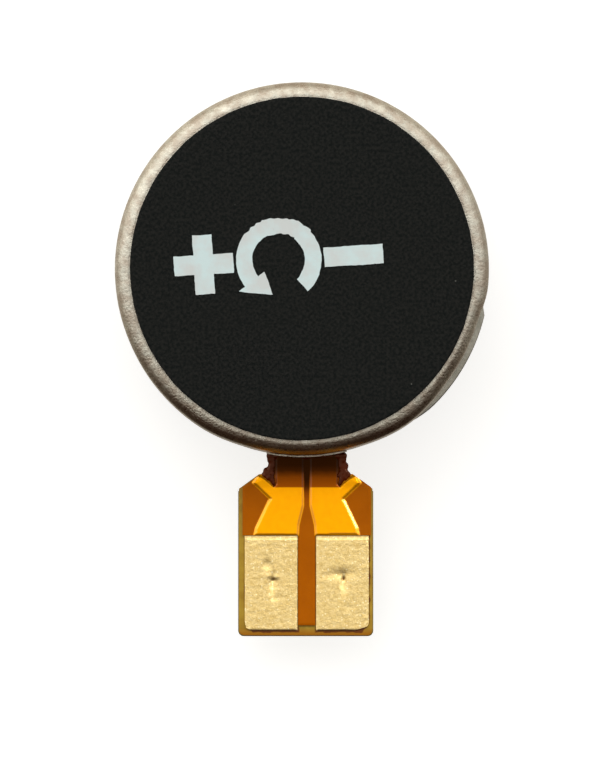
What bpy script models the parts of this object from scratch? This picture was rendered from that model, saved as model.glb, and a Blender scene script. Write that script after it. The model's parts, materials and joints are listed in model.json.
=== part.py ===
"""Vibration coin motor: a flat brushed motor in a drawn steel can, with a flexible circuit tail.

The can lies flat. The origin is on the spin axis, at the underside of the base plate, +Z is the spin
axis and the tail points to -Y. Each sub-part is one closed solid in its own object. The pieces that
spin hang on the empty rotor_axis, and the pieces that bend with the tail hang on the empty tail_hinge.
"""
from math import asin, cos, pi, radians, sin, tau

import bmesh
import bpy

MM = 0.001

# Fits
SEAT_GAP = 0.02 * MM          # between pieces that rest on, or are glued to, each other
RUN_GAP = 0.03 * MM           # radial clearance of the bearing on the shaft
END_PLAY = 0.03 * MM          # above and below each thrust washer
MERGE = 0.0001 * MM           # corners closer than this are one corner

# Can
CAN_DIAMETER = 10.0 * MM
BODY_HEIGHT = 2.7 * MM        # base plate underside to case top
CASE_WALL = 0.2 * MM
CASE_CORNER = 0.38 * MM       # outside radius of the drawn top corner
BASE_THICKNESS = 0.2 * MM
BASE_CHAMFER = 0.03 * MM
EXIT_SIDE_GAP = 0.08 * MM     # notch in the case wall, on each side of the neck
EXIT_HEADROOM = 0.12 * MM     # notch in the case wall, above the circuit
EXIT_LIP_HEIGHT = 0.08 * MM
EXIT_LIP_REACH = 0.08 * MM
DIMPLE_COUNT = 4
DIMPLE_RADIUS = 0.15 * MM
DIMPLE_RISE = 0.1 * MM

# Foam pad on the case
PAD_MARGIN = 0.04 * MM        # flat of the case that shows inside its rounded corner
PAD_THICKNESS = 0.2 * MM
PAD_ADHESIVE_THICKNESS = 0.06 * MM
PAD_ADHESIVE_INSET = 0.04 * MM

# Shaft and its hub
SHAFT_DIAMETER = 0.8 * MM
SHAFT_FLOOR = 0.1 * MM        # metal left under the blind hub
SHAFT_RECESS = 0.04 * MM      # shaft end below the case top
HUB_WALL = 0.32 * MM
HUB_TOP_Z = 0.95 * MM

# Flexible circuit, from the bottom up: film, copper, coverlay
FILM_THICKNESS = 0.05 * MM
COPPER_THICKNESS = 0.04 * MM
COVERLAY_THICKNESS = 0.05 * MM
PLATING_THICKNESS = 0.01 * MM
CIRCUIT_OFFSET = 0.13 * MM    # centre line of the circuit, towards +X from the spin axis
NECK_WIDTH = 2.0 * MM
TAIL_WIDTH = 3.62 * MM
TAIL_LENGTH = 4.8 * MM        # from the can's edge to the end of the tail
TAIL_CORNER = 0.15 * MM
BEND_OUT = 0.45 * MM          # from the can's edge to the line that the neck bends on
BEND_GAP = 0.1 * MM           # left open between the two halves of the neck
CHAMFER_START = 0.53 * MM     # from the can's edge to where the neck widens
CHAMFER_STEP = 0.1 * MM
SHOULDER_OUT = 0.91 * MM      # from the can's edge to the tail's full width
STIFFENER_OUT = 0.97 * MM
COVERLAY_INSET = 0.1 * MM     # on the neck
TRACE_WIDTH = 0.7 * MM
TRACE_SPACING = 0.22 * MM
SPUR_WIDTH = 0.32 * MM
CONTACT_WIDTH = 1.41 * MM
CONTACT_LENGTH = 2.49 * MM
CONTACT_SPACING = 0.5 * MM
CONTACT_END_MARGIN = 0.17 * MM
CONTACT_CORNER = 0.2 * MM
TONGUE_END_MARGIN = 0.32 * MM

# Brushes, on the circuit's lands inside the magnet
BRUSH_WIDTH = 0.3 * MM
BRUSH_LEAF = 0.05 * MM
BRUSH_SPACING = 2.8 * MM
LAND_WIDTH = 0.5 * MM
LAND_LENGTH = 0.5 * MM
BRUSH_SOLDER_LENGTH = 0.4 * MM
HUB_CLEARANCE = 0.1 * MM      # between the hub and what lies beside it

# Magnet
MAGNET_BORE = 4.7 * MM
MAGNET_HEIGHT = 0.73 * MM
MAGNET_SIDE_GAP = 0.45 * MM   # between magnet and case wall
BOND_INSET = 0.1 * MM

# Rotor
ROTOR_SIDE_GAP = 0.38 * MM    # between rotor and case wall
ROTOR_TOP_GAP = 0.22 * MM     # between rotor and case top
AIR_GAP = 0.13 * MM           # between magnet and rotor board
BEARING_WALL = 0.33 * MM
WASHER_THICKNESS = 0.08 * MM
WASHER_WIDTH = 0.3 * MM
BOARD_THICKNESS = 0.12 * MM
BOARD_HUB_RADIUS = 2.2 * MM
SEGMENT_COUNT = 6
SEGMENT_THICKNESS = 0.04 * MM
SEGMENT_INNER = 0.95 * MM
SEGMENT_OUTER = 1.9 * MM
SEGMENT_GAP = radians(8)
WEIGHT_INNER = 2.2 * MM
WEIGHT_HALF_ANGLE = radians(25)
COIL_BORE = 1.0 * MM
COIL_REACH = 1.75 * MM        # from the spin axis to the near side of a coil
RESIN_WALL = 0.15 * MM
RESIN_SKIN = 0.1 * MM         # resin over the coils
RESIN_HUB_RADIUS = 1.4 * MM
SOLDER_COUNT = 3
SOLDER_RADIUS = 0.2 * MM
SOLDER_SPREAD = radians(40)

# Facets
CAN_STEPS = 72
ROTOR_STEPS = 48
SMALL_STEPS = 32
DOT_STEPS = 16

# Worked out from the sizes above: radii
CAN_RADIUS = CAN_DIAMETER / 2
CASE_BORE = CAN_RADIUS - CASE_WALL
PAD_RADIUS = CAN_RADIUS - CASE_CORNER - PAD_MARGIN
SHAFT_RADIUS = SHAFT_DIAMETER / 2
SHAFT_SEAT = SHAFT_RADIUS + SEAT_GAP
HUB_RADIUS = SHAFT_SEAT + HUB_WALL
MAGNET_INNER = MAGNET_BORE / 2
MAGNET_OUTER = CASE_BORE - MAGNET_SIDE_GAP
ROTOR_RADIUS = CASE_BORE - ROTOR_SIDE_GAP
BEARING_BORE = SHAFT_RADIUS + RUN_GAP
BEARING_RADIUS = BEARING_BORE + BEARING_WALL
COIL_RADIUS = (ROTOR_RADIUS - RESIN_WALL - COIL_REACH) / 2
COIL_CENTRE = COIL_REACH + COIL_RADIUS
COIL_HALF_ANGLE = asin((COIL_RADIUS + RESIN_WALL) / COIL_CENTRE)
COIL_ANGLE = WEIGHT_HALF_ANGLE + COIL_HALF_ANGLE
ROTOR_HALF_ANGLE = COIL_ANGLE + COIL_HALF_ANGLE

# Worked out from the sizes above: heights
CASE_FOOT_Z = BASE_THICKNESS + SEAT_GAP
CASE_CEILING_Z = BODY_HEIGHT - CASE_WALL
FILM_Z = BASE_THICKNESS + SEAT_GAP
COPPER_Z = FILM_Z + FILM_THICKNESS + SEAT_GAP
COVERLAY_Z = COPPER_Z + COPPER_THICKNESS + SEAT_GAP
CIRCUIT_TOP_Z = COVERLAY_Z + COVERLAY_THICKNESS
MAGNET_Z = CIRCUIT_TOP_Z + SEAT_GAP
BOARD_Z = MAGNET_Z + MAGNET_HEIGHT + AIR_GAP
BOARD_TOP_Z = BOARD_Z + BOARD_THICKNESS
SEGMENT_Z = BOARD_Z - SEAT_GAP - SEGMENT_THICKNESS
WINDING_Z = BOARD_TOP_Z + SEAT_GAP
ROTOR_TOP_Z = CASE_CEILING_Z - ROTOR_TOP_GAP
LOWER_WASHER_Z = HUB_TOP_Z + END_PLAY
BEARING_Z = LOWER_WASHER_Z + WASHER_THICKNESS + END_PLAY
UPPER_WASHER_Z = CASE_CEILING_Z - END_PLAY - WASHER_THICKNESS
BEARING_TOP_Z = UPPER_WASHER_Z - END_PLAY
PAD_ADHESIVE_Z = BODY_HEIGHT + SEAT_GAP
PAD_Z = PAD_ADHESIVE_Z + PAD_ADHESIVE_THICKNESS + SEAT_GAP
BEND_Z = (FILM_Z + CIRCUIT_TOP_Z) / 2

# Worked out from the sizes above: places along the circuit, as distances beyond the can's edge
ROOT_END = BEND_OUT - BEND_GAP / 2
TAIL_START = BEND_OUT + BEND_GAP / 2
CONTACT_END = TAIL_LENGTH - CONTACT_END_MARGIN
CONTACT_START = CONTACT_END - CONTACT_LENGTH
TRACE_INNER = TRACE_SPACING / 2
TRACE_OUTER = TRACE_INNER + TRACE_WIDTH
CONTACT_INNER = CONTACT_SPACING / 2
CONTACT_OUTER = CONTACT_INNER + CONTACT_WIDTH
LAND_CENTRE = BRUSH_SPACING / 2
LAND_NEAR_Y = -(HUB_RADIUS + HUB_CLEARANCE)
LAND_FAR_Y = LAND_NEAR_Y - LAND_LENGTH

# Colour, roughness and metallic value of each finish
FINISHES = {
    "satin_nickel": ((0.60, 0.57, 0.52), 0.30, 1.0),
    "zinc_steel": ((0.50, 0.49, 0.46), 0.38, 1.0),
    "shaft_steel": ((0.62, 0.62, 0.62), 0.18, 1.0),
    "black_foam": ((0.012, 0.013, 0.014), 0.88, 0.0),
    "clear_adhesive": ((0.75, 0.73, 0.66), 0.45, 0.0),
    "magnet_nickel": ((0.36, 0.36, 0.37), 0.34, 1.0),
    "grey_bond": ((0.20, 0.20, 0.21), 0.60, 0.0),
    "amber_film": ((0.30, 0.20, 0.03), 0.35, 0.0),
    "amber_coverlay": ((0.83, 0.33, 0.01), 0.28, 0.0),
    "rolled_copper": ((0.78, 0.36, 0.20), 0.32, 1.0),
    "matte_gold": ((0.85, 0.60, 0.30), 0.36, 1.0),
    "olive_stiffener": ((0.28, 0.20, 0.04), 0.42, 0.0),
    "amber_resin": ((0.20, 0.05, 0.005), 0.12, 0.0),
    "phosphor_bronze": ((0.72, 0.45, 0.25), 0.30, 1.0),
    "tin_solder": ((0.66, 0.66, 0.67), 0.25, 1.0),
    "washer_film": ((0.05, 0.05, 0.05), 0.50, 0.0),
    "sintered_bronze": ((0.42, 0.29, 0.16), 0.50, 1.0),
    "green_board": ((0.02, 0.16, 0.07), 0.45, 0.0),
    "segment_gold": ((0.90, 0.65, 0.28), 0.25, 1.0),
    "coil_enamel": ((0.55, 0.19, 0.06), 0.35, 0.6),
    "tungsten": ((0.22, 0.22, 0.23), 0.42, 1.0),
    "rotor_plastic": ((0.03, 0.05, 0.10), 0.50, 0.0),
}


def clear_scene():
    """Remove every object that the file opened with."""
    for old in list(bpy.data.objects):
        bpy.data.objects.remove(old, do_unlink=True)


def finish(name):
    """The material of that name, made on first use."""
    known = bpy.data.materials.get(name)
    if known:
        return known
    colour, roughness, metallic = FINISHES[name]
    material = bpy.data.materials.new(name)
    material.use_nodes = True
    shader = material.node_tree.nodes["Principled BSDF"]
    shader.inputs["Base Color"].default_value = (*colour, 1.0)
    shader.inputs["Roughness"].default_value = roughness
    shader.inputs["Metallic"].default_value = metallic
    material.diffuse_color = (*colour, 1.0)
    return material


def axis_empty(name, place):
    """An empty that marks a joint's axis and carries what moves on it."""
    empty = bpy.data.objects.new(name, None)
    empty.location = place
    bpy.context.collection.objects.link(empty)
    return empty


def hang_on(carrier, *pieces):
    """Parent pieces to a joint's empty, with their place kept."""
    for piece in pieces:
        piece.parent = carrier
        piece.location = piece.location - carrier.location


def add_object(name, shape, finish_name):
    """Turn a bmesh into an object, closed, facing out and smooth across its round sides."""
    bmesh.ops.remove_doubles(shape, verts=shape.verts, dist=MERGE)
    bmesh.ops.recalc_face_normals(shape, faces=shape.faces)
    if shape.calc_volume(signed=True) < 0:
        bmesh.ops.reverse_faces(shape, faces=shape.faces)
    mesh = bpy.data.meshes.new(name)
    shape.to_mesh(mesh)
    shape.free()
    mesh.shade_smooth()
    mesh.set_sharp_from_angle(angle=radians(35))
    mesh.materials.append(finish(finish_name))
    piece = bpy.data.objects.new(name, mesh)
    bpy.context.collection.objects.link(piece)
    return piece


def turned(name, profile, finish_name, steps=SMALL_STEPS):
    """A solid of revolution about +Z, from an outline of (radius, height) corners."""
    shape = bmesh.new()
    corners = [shape.verts.new((radius, 0.0, height)) for radius, height in profile]
    both_ends_on_axis = profile[0][0] == 0.0 and profile[-1][0] == 0.0
    closing = [] if both_ends_on_axis else [(corners[-1], corners[0])]
    sides = [shape.edges.new(pair) for pair in list(zip(corners, corners[1:])) + closing]
    bmesh.ops.spin(
        shape, geom=corners + sides, cent=(0, 0, 0), axis=(0, 0, 1), angle=tau, steps=steps,
        use_merge=True)
    return add_object(name, shape, finish_name)


def slab(name, outline, low, high, finish_name):
    """A flat piece: an outline of (x, y) corners, drawn up from low to high."""
    shape = bmesh.new()
    floor = shape.faces.new([shape.verts.new((x, y, low)) for x, y in outline])
    drawn = bmesh.ops.extrude_face_region(shape, geom=[floor])
    lifted = [part for part in drawn["geom"] if isinstance(part, bmesh.types.BMVert)]
    bmesh.ops.translate(shape, verts=lifted, vec=(0, 0, high - low))
    return add_object(name, shape, finish_name)


def strip(name, outline, left, right, finish_name):
    """A piece with one section along X: an outline of (y, z) corners, from left to right."""
    shape = bmesh.new()
    end = shape.faces.new([shape.verts.new((left, y, z)) for y, z in outline])
    drawn = bmesh.ops.extrude_face_region(shape, geom=[end])
    moved = [part for part in drawn["geom"] if isinstance(part, bmesh.types.BMVert)]
    bmesh.ops.translate(shape, verts=moved, vec=(right - left, 0, 0))
    return add_object(name, shape, finish_name)


def ring(inner, outer, low, high):
    """Outline of a plain ring's section."""
    return [(outer, low), (outer, high), (inner, high), (inner, low)]


def disc(radius, low, high):
    """Outline of a plain disc's section."""
    return [(0.0, low), (radius, low), (radius, high), (0.0, high)]


def arc(radius, start, end, steps, centre=(0.0, 0.0)):
    """Points on an arc, both ends included."""
    turns = [start + (end - start) * step / steps for step in range(steps + 1)]
    return [(centre[0] + radius * cos(turn), centre[1] + radius * sin(turn)) for turn in turns]


def ring_sector(inner, outer, start, end, steps):
    """Outline of a piece of a flat ring between two angles."""
    return arc(outer, start, end, steps) + arc(inner, end, start, steps)


def combine(target, tool, operation):
    """Add or cut a hidden helper solid."""
    tool.hide_render = True
    tool.display_type = "WIRE"
    boolean = target.modifiers.new(tool.name, "BOOLEAN")
    boolean.operation = operation
    boolean.object = tool
    boolean.solver = "EXACT"


def on_circuit(points, side=1):
    """Place (across, beyond the can's edge) points of the circuit in the model's frame."""
    return [(CIRCUIT_OFFSET + side * across, -(CAN_RADIUS + out)) for across, out in points]


def both_sides(half):
    """Close a half outline, drawn on the +X side from the can outwards, with its mirror image."""
    return on_circuit(half) + on_circuit(half[::-1], side=-1)


# ---- can ------------------------------------------------------------------

def make_case():
    """Drawn cup, open below, with a weld hole for the shaft and a notch for the circuit."""
    corner_outside = arc(CASE_CORNER, 0, pi / 2, 6, (CAN_RADIUS - CASE_CORNER, BODY_HEIGHT - CASE_CORNER))
    corner_inside = arc(
        CASE_CORNER - CASE_WALL, pi / 2, 0, 4, (CAN_RADIUS - CASE_CORNER, BODY_HEIGHT - CASE_CORNER))
    profile = [
        (CAN_RADIUS, CASE_FOOT_Z), *corner_outside,
        (SHAFT_SEAT, BODY_HEIGHT), (SHAFT_SEAT, CASE_CEILING_Z),
        *corner_inside, (CASE_BORE, CASE_FOOT_Z)]
    case = turned("case", profile, "satin_nickel", CAN_STEPS)
    half_width = NECK_WIDTH / 2 + EXIT_SIDE_GAP
    notch_top = CIRCUIT_TOP_Z + EXIT_HEADROOM
    notch_left = CIRCUIT_OFFSET - half_width
    notch_right = CIRCUIT_OFFSET + half_width
    lip_root = CAN_RADIUS - CASE_WALL / 2
    lip = slab(
        "exit_lip", ring_sector(
            lip_root, CAN_RADIUS + EXIT_LIP_REACH, -pi / 2 + asin(notch_left / CAN_RADIUS),
            -pi / 2 + asin(notch_right / CAN_RADIUS), 8),
        notch_top, notch_top + EXIT_LIP_HEIGHT, "satin_nickel")
    notch_outline = [
        (notch_left, -CAN_RADIUS - CASE_WALL), (notch_right, -CAN_RADIUS - CASE_WALL),
        (notch_right, -CASE_BORE + 2 * CASE_WALL), (notch_left, -CASE_BORE + 2 * CASE_WALL)]
    notch = slab("exit_notch", notch_outline, CASE_FOOT_Z - CASE_WALL, notch_top, "satin_nickel")
    combine(case, lip, "UNION")
    combine(case, notch, "DIFFERENCE")
    return case


def make_base_plate():
    """Flat disc with a blind hub for the shaft and a ring of half-sheared dimples."""
    profile = [
        (0.0, 0.0), (CAN_RADIUS - BASE_CHAMFER, 0.0), (CAN_RADIUS, BASE_CHAMFER),
        (CAN_RADIUS, BASE_THICKNESS), (HUB_RADIUS, BASE_THICKNESS), (HUB_RADIUS, HUB_TOP_Z),
        (SHAFT_SEAT, HUB_TOP_Z), (SHAFT_SEAT, SHAFT_FLOOR), (0.0, SHAFT_FLOOR)]
    plate = turned("base_plate", profile, "zinc_steel", CAN_STEPS)
    circle = (MAGNET_OUTER - BOND_INSET + CASE_BORE) / 2
    mid_facet = tau / CAN_STEPS / 2
    for number in range(DIMPLE_COUNT):
        turn = tau * (number + 0.5) / DIMPLE_COUNT + mid_facet
        place = (circle * cos(turn), circle * sin(turn), 0.0)
        boss_section = disc(DIMPLE_RADIUS, BASE_THICKNESS - DIMPLE_RISE / 2, BASE_THICKNESS + DIMPLE_RISE)
        pit_section = disc(DIMPLE_RADIUS, -DIMPLE_RISE, DIMPLE_RISE)
        boss = turned(f"dimple_boss_{number}", boss_section, "zinc_steel", DOT_STEPS)
        pit = turned(f"dimple_pit_{number}", pit_section, "zinc_steel", DOT_STEPS)
        boss.location = place
        pit.location = place
        combine(plate, boss, "UNION")
        combine(plate, pit, "DIFFERENCE")
    return plate


def make_shaft():
    """Fixed pin, pressed into the hub and welded in the case's hole."""
    return turned(
        "shaft", disc(SHAFT_RADIUS, SHAFT_FLOOR + SEAT_GAP, BODY_HEIGHT - SHAFT_RECESS), "shaft_steel")


def make_pad():
    """Black foam disc and the adhesive film that holds it on the case."""
    adhesive_top = PAD_ADHESIVE_Z + PAD_ADHESIVE_THICKNESS
    turned(
        "pad_adhesive", disc(PAD_RADIUS - PAD_ADHESIVE_INSET, PAD_ADHESIVE_Z, adhesive_top),
        "clear_adhesive", CAN_STEPS)
    turned("foam_pad", disc(PAD_RADIUS, PAD_Z, PAD_Z + PAD_THICKNESS), "black_foam", CAN_STEPS)


def make_exit_sealant():
    """Bead of resin across the circuit, inside the case's notch."""
    low = CIRCUIT_TOP_Z + SEAT_GAP
    reach = CASE_WALL / 2 + 2 * SEAT_GAP
    height = EXIT_HEADROOM - 2 * SEAT_GAP
    middle = -(CAN_RADIUS - CASE_WALL / 2)
    dome = [(middle + reach * cos(turn), low + height * sin(turn)) for turn in
            [pi * step / 8 for step in range(9)]]
    half_width = NECK_WIDTH / 2 - SEAT_GAP
    return strip(
        "exit_sealant", dome, CIRCUIT_OFFSET - half_width, CIRCUIT_OFFSET + half_width, "amber_resin")


# ---- magnet ---------------------------------------------------------------

def make_magnet():
    """Ring magnet, and the bond under it, which leaves a slot for the circuit."""
    turned(
        "ring_magnet", ring(MAGNET_INNER, MAGNET_OUTER, MAGNET_Z, MAGNET_Z + MAGNET_HEIGHT),
        "magnet_nickel", CAN_STEPS)
    inner = MAGNET_INNER + BOND_INSET
    outer = MAGNET_OUTER - BOND_INSET
    slot = NECK_WIDTH / 2 + CIRCUIT_OFFSET + EXIT_SIDE_GAP
    half_slot = asin(slot / inner)
    outline = ring_sector(inner, outer, -pi / 2 + half_slot, 3 * pi / 2 - half_slot, 48)
    slab("magnet_bond", outline, CASE_FOOT_Z, CIRCUIT_TOP_Z, "grey_bond")


# ---- circuit --------------------------------------------------------------

def tail_half(inset, end):
    """Half outline of the tail, pulled in from the film's edge by inset."""
    corner = arc(TAIL_CORNER, 0, pi / 2, 4, (TAIL_WIDTH / 2 - inset - TAIL_CORNER, end - TAIL_CORNER))
    return [(TAIL_WIDTH / 2 - inset, SHOULDER_OUT + inset), *corner]


def make_film():
    """Bottom film: the lands and neck in the can, and the tail beyond the bend."""
    half_neck = NECK_WIDTH / 2
    land_half = LAND_CENTRE + LAND_WIDTH / 2
    body_half = [
        (land_half, -CAN_RADIUS - LAND_NEAR_Y), (land_half, -CAN_RADIUS - LAND_FAR_Y),
        (half_neck, -CAN_RADIUS - LAND_FAR_Y), (half_neck, ROOT_END)]
    slab("flex_film_body", both_sides(body_half), FILM_Z, FILM_Z + FILM_THICKNESS, "amber_film")
    neck_end = [
        (half_neck, TAIL_START), (half_neck, CHAMFER_START),
        (half_neck + CHAMFER_STEP, CHAMFER_START)]
    tail = slab(
        "flex_film_tail", both_sides(neck_end + tail_half(0.0, TAIL_LENGTH)),
        FILM_Z, FILM_Z + FILM_THICKNESS, "amber_film")
    return tail


def make_coverlay():
    """Top film: it stops short of the brush lands and leaves the contacts bare."""
    half_neck = NECK_WIDTH / 2 - COVERLAY_INSET
    body_half = [(half_neck, -CAN_RADIUS - LAND_FAR_Y), (half_neck, ROOT_END)]
    slab("coverlay_body", both_sides(body_half), COVERLAY_Z, CIRCUIT_TOP_Z, "amber_coverlay")
    tongue = CONTACT_INNER - SEAT_GAP
    window = CONTACT_START - SEAT_GAP
    side = CONTACT_OUTER
    tail_outline = [
        (half_neck, TAIL_START), (half_neck, CHAMFER_START + COVERLAY_INSET),
        (side, SHOULDER_OUT + COVERLAY_INSET), (side, window), (tongue, window),
        (tongue, TAIL_LENGTH - TONGUE_END_MARGIN)]
    return slab(
        "coverlay_tail", both_sides(tail_outline), COVERLAY_Z, CIRCUIT_TOP_Z, "amber_coverlay")


def make_traces(side, label):
    """One conductor: from its brush land to the bend, and from the bend to its contact."""
    land_inner = LAND_CENTRE - LAND_WIDTH / 2
    land_outer = LAND_CENTRE + LAND_WIDTH / 2 - SEAT_GAP
    land_near = -CAN_RADIUS - LAND_NEAR_Y + SEAT_GAP
    land_far = -CAN_RADIUS - LAND_FAR_Y
    body = [
        (TRACE_INNER, ROOT_END), (TRACE_OUTER, ROOT_END), (TRACE_OUTER, land_far + LAND_WIDTH),
        (TRACE_OUTER, land_far), (land_outer, land_far - SEAT_GAP), (land_outer, land_near),
        (land_inner, land_near), (TRACE_INNER, land_far)]
    top = COPPER_Z + COPPER_THICKNESS
    slab(f"trace_{label}_body", on_circuit(body, side), COPPER_Z, top, "rolled_copper")
    spur_root = SHOULDER_OUT - TRACE_SPACING / 2
    spur_tip = (CHAMFER_START + SHOULDER_OUT) / 2
    spur_reach = (NECK_WIDTH / 2 + CHAMFER_STEP + TAIL_WIDTH / 2) / 2 - COVERLAY_INSET / 2
    window = CONTACT_START - SEAT_GAP
    fan = CONTACT_START - TAIL_START
    tail = [
        (TRACE_INNER, TAIL_START), (TRACE_OUTER, TAIL_START),
        (TRACE_OUTER + SEAT_GAP, spur_root - SPUR_WIDTH / 4),
        (spur_reach - SPUR_WIDTH / 3, spur_tip - SPUR_WIDTH / 3),
        (spur_reach, spur_tip),
        (TRACE_OUTER + 0.2 * SPUR_WIDTH, spur_root + 0.7 * SPUR_WIDTH),
        (TRACE_OUTER + TRACE_SPACING, TAIL_START + 0.42 * fan),
        (CONTACT_OUTER - 0.22 * CONTACT_WIDTH, TAIL_START + 0.9 * fan),
        (CONTACT_OUTER - 0.18 * CONTACT_WIDTH, window), (CONTACT_INNER, window),
        (CONTACT_INNER, TAIL_START + 0.85 * fan), (TRACE_INNER, TAIL_START + 0.5 * fan)]
    return slab(f"trace_{label}_tail", on_circuit(tail, side), COPPER_Z, top, "rolled_copper")


def make_contact(side, label):
    """Bare gold-plated land at the end of one conductor."""
    outline = [
        (CONTACT_INNER, CONTACT_START), (CONTACT_OUTER, CONTACT_START),
        (CONTACT_OUTER, CONTACT_END - CONTACT_CORNER),
        (CONTACT_OUTER - CONTACT_CORNER, CONTACT_END), (CONTACT_INNER, CONTACT_END)]
    top = COPPER_Z + COPPER_THICKNESS + PLATING_THICKNESS
    return slab(f"contact_pad_{label}", on_circuit(outline, side), COPPER_Z, top, "matte_gold")


def make_stiffener():
    """Stiff sheet under the tail, level with the base plate's underside."""
    half = [(TAIL_WIDTH / 2, STIFFENER_OUT), *tail_half(0.0, TAIL_LENGTH)[1:]]
    return slab("stiffener", both_sides(half), 0.0, BASE_THICKNESS, "olive_stiffener")


def make_brush(side, label):
    """Leaf spring that rises from its soldered foot to the commutator."""
    foot = LAND_FAR_Y + SEAT_GAP
    foot_end = LAND_NEAR_Y
    tip = SEGMENT_Z - SEAT_GAP
    tip_y = (SEGMENT_INNER + SEGMENT_OUTER) / 4
    low = MAGNET_Z
    droop = BRUSH_LEAF
    outline = [
        (foot, low), (foot_end, low), (tip_y + 2 * droop, tip - 2 * droop),
        (tip_y + 5 * droop, tip - 3 * droop), (tip_y + 5 * droop, tip - 2 * droop),
        (tip_y + 3 * droop, tip), (tip_y, tip), (foot_end - droop, low + BRUSH_LEAF),
        (foot, low + BRUSH_LEAF)]
    middle = CIRCUIT_OFFSET + side * LAND_CENTRE
    strip(
        f"brush_{label}", outline, middle - BRUSH_WIDTH / 2, middle + BRUSH_WIDTH / 2,
        "phosphor_bronze")
    land_middle = (LAND_NEAR_Y + LAND_FAR_Y) / 2
    half_length = BRUSH_SOLDER_LENGTH / 2
    patch = [
        (middle - BRUSH_WIDTH / 2, land_middle - half_length),
        (middle + BRUSH_WIDTH / 2, land_middle - half_length),
        (middle + BRUSH_WIDTH / 2, land_middle + half_length),
        (middle - BRUSH_WIDTH / 2, land_middle + half_length)]
    slab(f"brush_solder_{label}", patch, COVERLAY_Z, CIRCUIT_TOP_Z, "tin_solder")


# ---- rotor ----------------------------------------------------------------

def make_washers():
    """Thrust washers on the shaft, below and above the bearing."""
    for name, low in (("lower_washer", LOWER_WASHER_Z), ("upper_washer", UPPER_WASHER_Z)):
        section = ring(SHAFT_SEAT, SHAFT_SEAT + WASHER_WIDTH, low, low + WASHER_THICKNESS)
        turned(name, section, "washer_film")


def make_bearing():
    """Sintered bush that the rotor turns on."""
    return turned(
        "rotor_bearing", ring(BEARING_BORE, BEARING_RADIUS, BEARING_Z, BEARING_TOP_Z), "sintered_bronze")


def make_board():
    """Rotor board: a wide sector under the coils, and a round middle for the commutator."""
    wide = arc(ROTOR_RADIUS, -ROTOR_HALF_ANGLE, ROTOR_HALF_ANGLE, 36)
    middle = arc(BOARD_HUB_RADIUS, ROTOR_HALF_ANGLE, tau - ROTOR_HALF_ANGLE, 20)
    board = slab("rotor_board", wide + middle, BOARD_Z, BOARD_TOP_Z, "green_board")
    bore = turned(
        "board_bore", disc(BEARING_RADIUS + SEAT_GAP, BOARD_Z - AIR_GAP, BOARD_TOP_Z + AIR_GAP),
        "green_board")
    combine(board, bore, "DIFFERENCE")
    return board


def make_segments():
    """Commutator: flat gold segments on the underside of the rotor board."""
    pitch = tau / SEGMENT_COUNT
    segments = []
    for number in range(SEGMENT_COUNT):
        start = number * pitch + SEGMENT_GAP / 2
        outline = ring_sector(SEGMENT_INNER, SEGMENT_OUTER, start, start + pitch - SEGMENT_GAP, 8)
        segments.append(slab(
            f"commutator_segment_{number + 1}", outline, SEGMENT_Z, SEGMENT_Z + SEGMENT_THICKNESS,
            "segment_gold"))
    return segments


def coil_place(side):
    """Centre of one coil, seen from above."""
    return (COIL_CENTRE * cos(COIL_ANGLE), side * COIL_CENTRE * sin(COIL_ANGLE), 0.0)


def make_coil(side, label):
    """Flat round winding of enamelled wire."""
    top = ROTOR_TOP_Z - RESIN_SKIN - SEAT_GAP
    coil = turned(f"coil_{label}", ring(COIL_BORE / 2, COIL_RADIUS, WINDING_Z, top), "coil_enamel")
    coil.location = coil_place(side)
    return coil


def make_counterweight():
    """Tungsten block between the coils, which makes the rotor heavy on one side."""
    outline = ring_sector(WEIGHT_INNER, ROTOR_RADIUS, -WEIGHT_HALF_ANGLE, WEIGHT_HALF_ANGLE, 14)
    return slab("counterweight", outline, WINDING_Z, ROTOR_TOP_Z, "tungsten")


def make_rotor_resin():
    """Moulded body round the coils, the weight and the bearing."""
    wide = arc(ROTOR_RADIUS, -ROTOR_HALF_ANGLE, ROTOR_HALF_ANGLE, 36)
    middle = arc(RESIN_HUB_RADIUS, ROTOR_HALF_ANGLE, tau - ROTOR_HALF_ANGLE, 16)
    body = slab("rotor_resin", wide + middle, WINDING_Z, ROTOR_TOP_Z, "rotor_plastic")
    below = WINDING_Z - AIR_GAP
    above = ROTOR_TOP_Z + AIR_GAP
    bore = turned("resin_bore", disc(BEARING_RADIUS + SEAT_GAP, below, above), "rotor_plastic")
    combine(body, bore, "DIFFERENCE")
    for side, label in ((-1, "left"), (1, "right")):
        section = ring(
            COIL_BORE / 2 - SEAT_GAP, COIL_RADIUS + SEAT_GAP, below, ROTOR_TOP_Z - RESIN_SKIN)
        pocket = turned(f"coil_pocket_{label}", section, "rotor_plastic")
        pocket.location = coil_place(side)
        combine(body, pocket, "DIFFERENCE")
    spread = WEIGHT_HALF_ANGLE + asin(SEAT_GAP / WEIGHT_INNER)
    outline = ring_sector(WEIGHT_INNER - SEAT_GAP, ROTOR_RADIUS + AIR_GAP, -spread, spread, 14)
    combine(body, slab("weight_pocket", outline, below, above, "rotor_plastic"), "DIFFERENCE")
    return body


def make_coil_solder():
    """Solder dots where the coil wires join the board."""
    circle = (RESIN_HUB_RADIUS + BOARD_HUB_RADIUS) / 2
    dots = []
    for number in range(SOLDER_COUNT):
        turn = pi + SOLDER_SPREAD * (number - (SOLDER_COUNT - 1) / 2)
        dome = arc(SOLDER_RADIUS, 0, pi / 2, 4, (0.0, WINDING_Z))
        dot = turned(f"coil_solder_{number + 1}", [(0.0, WINDING_Z), *dome[:-1],
                     (0.0, WINDING_Z + SOLDER_RADIUS)], "tin_solder", DOT_STEPS)
        dot.location = (circle * cos(turn), circle * sin(turn), 0.0)
        dots.append(dot)
    return dots


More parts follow.
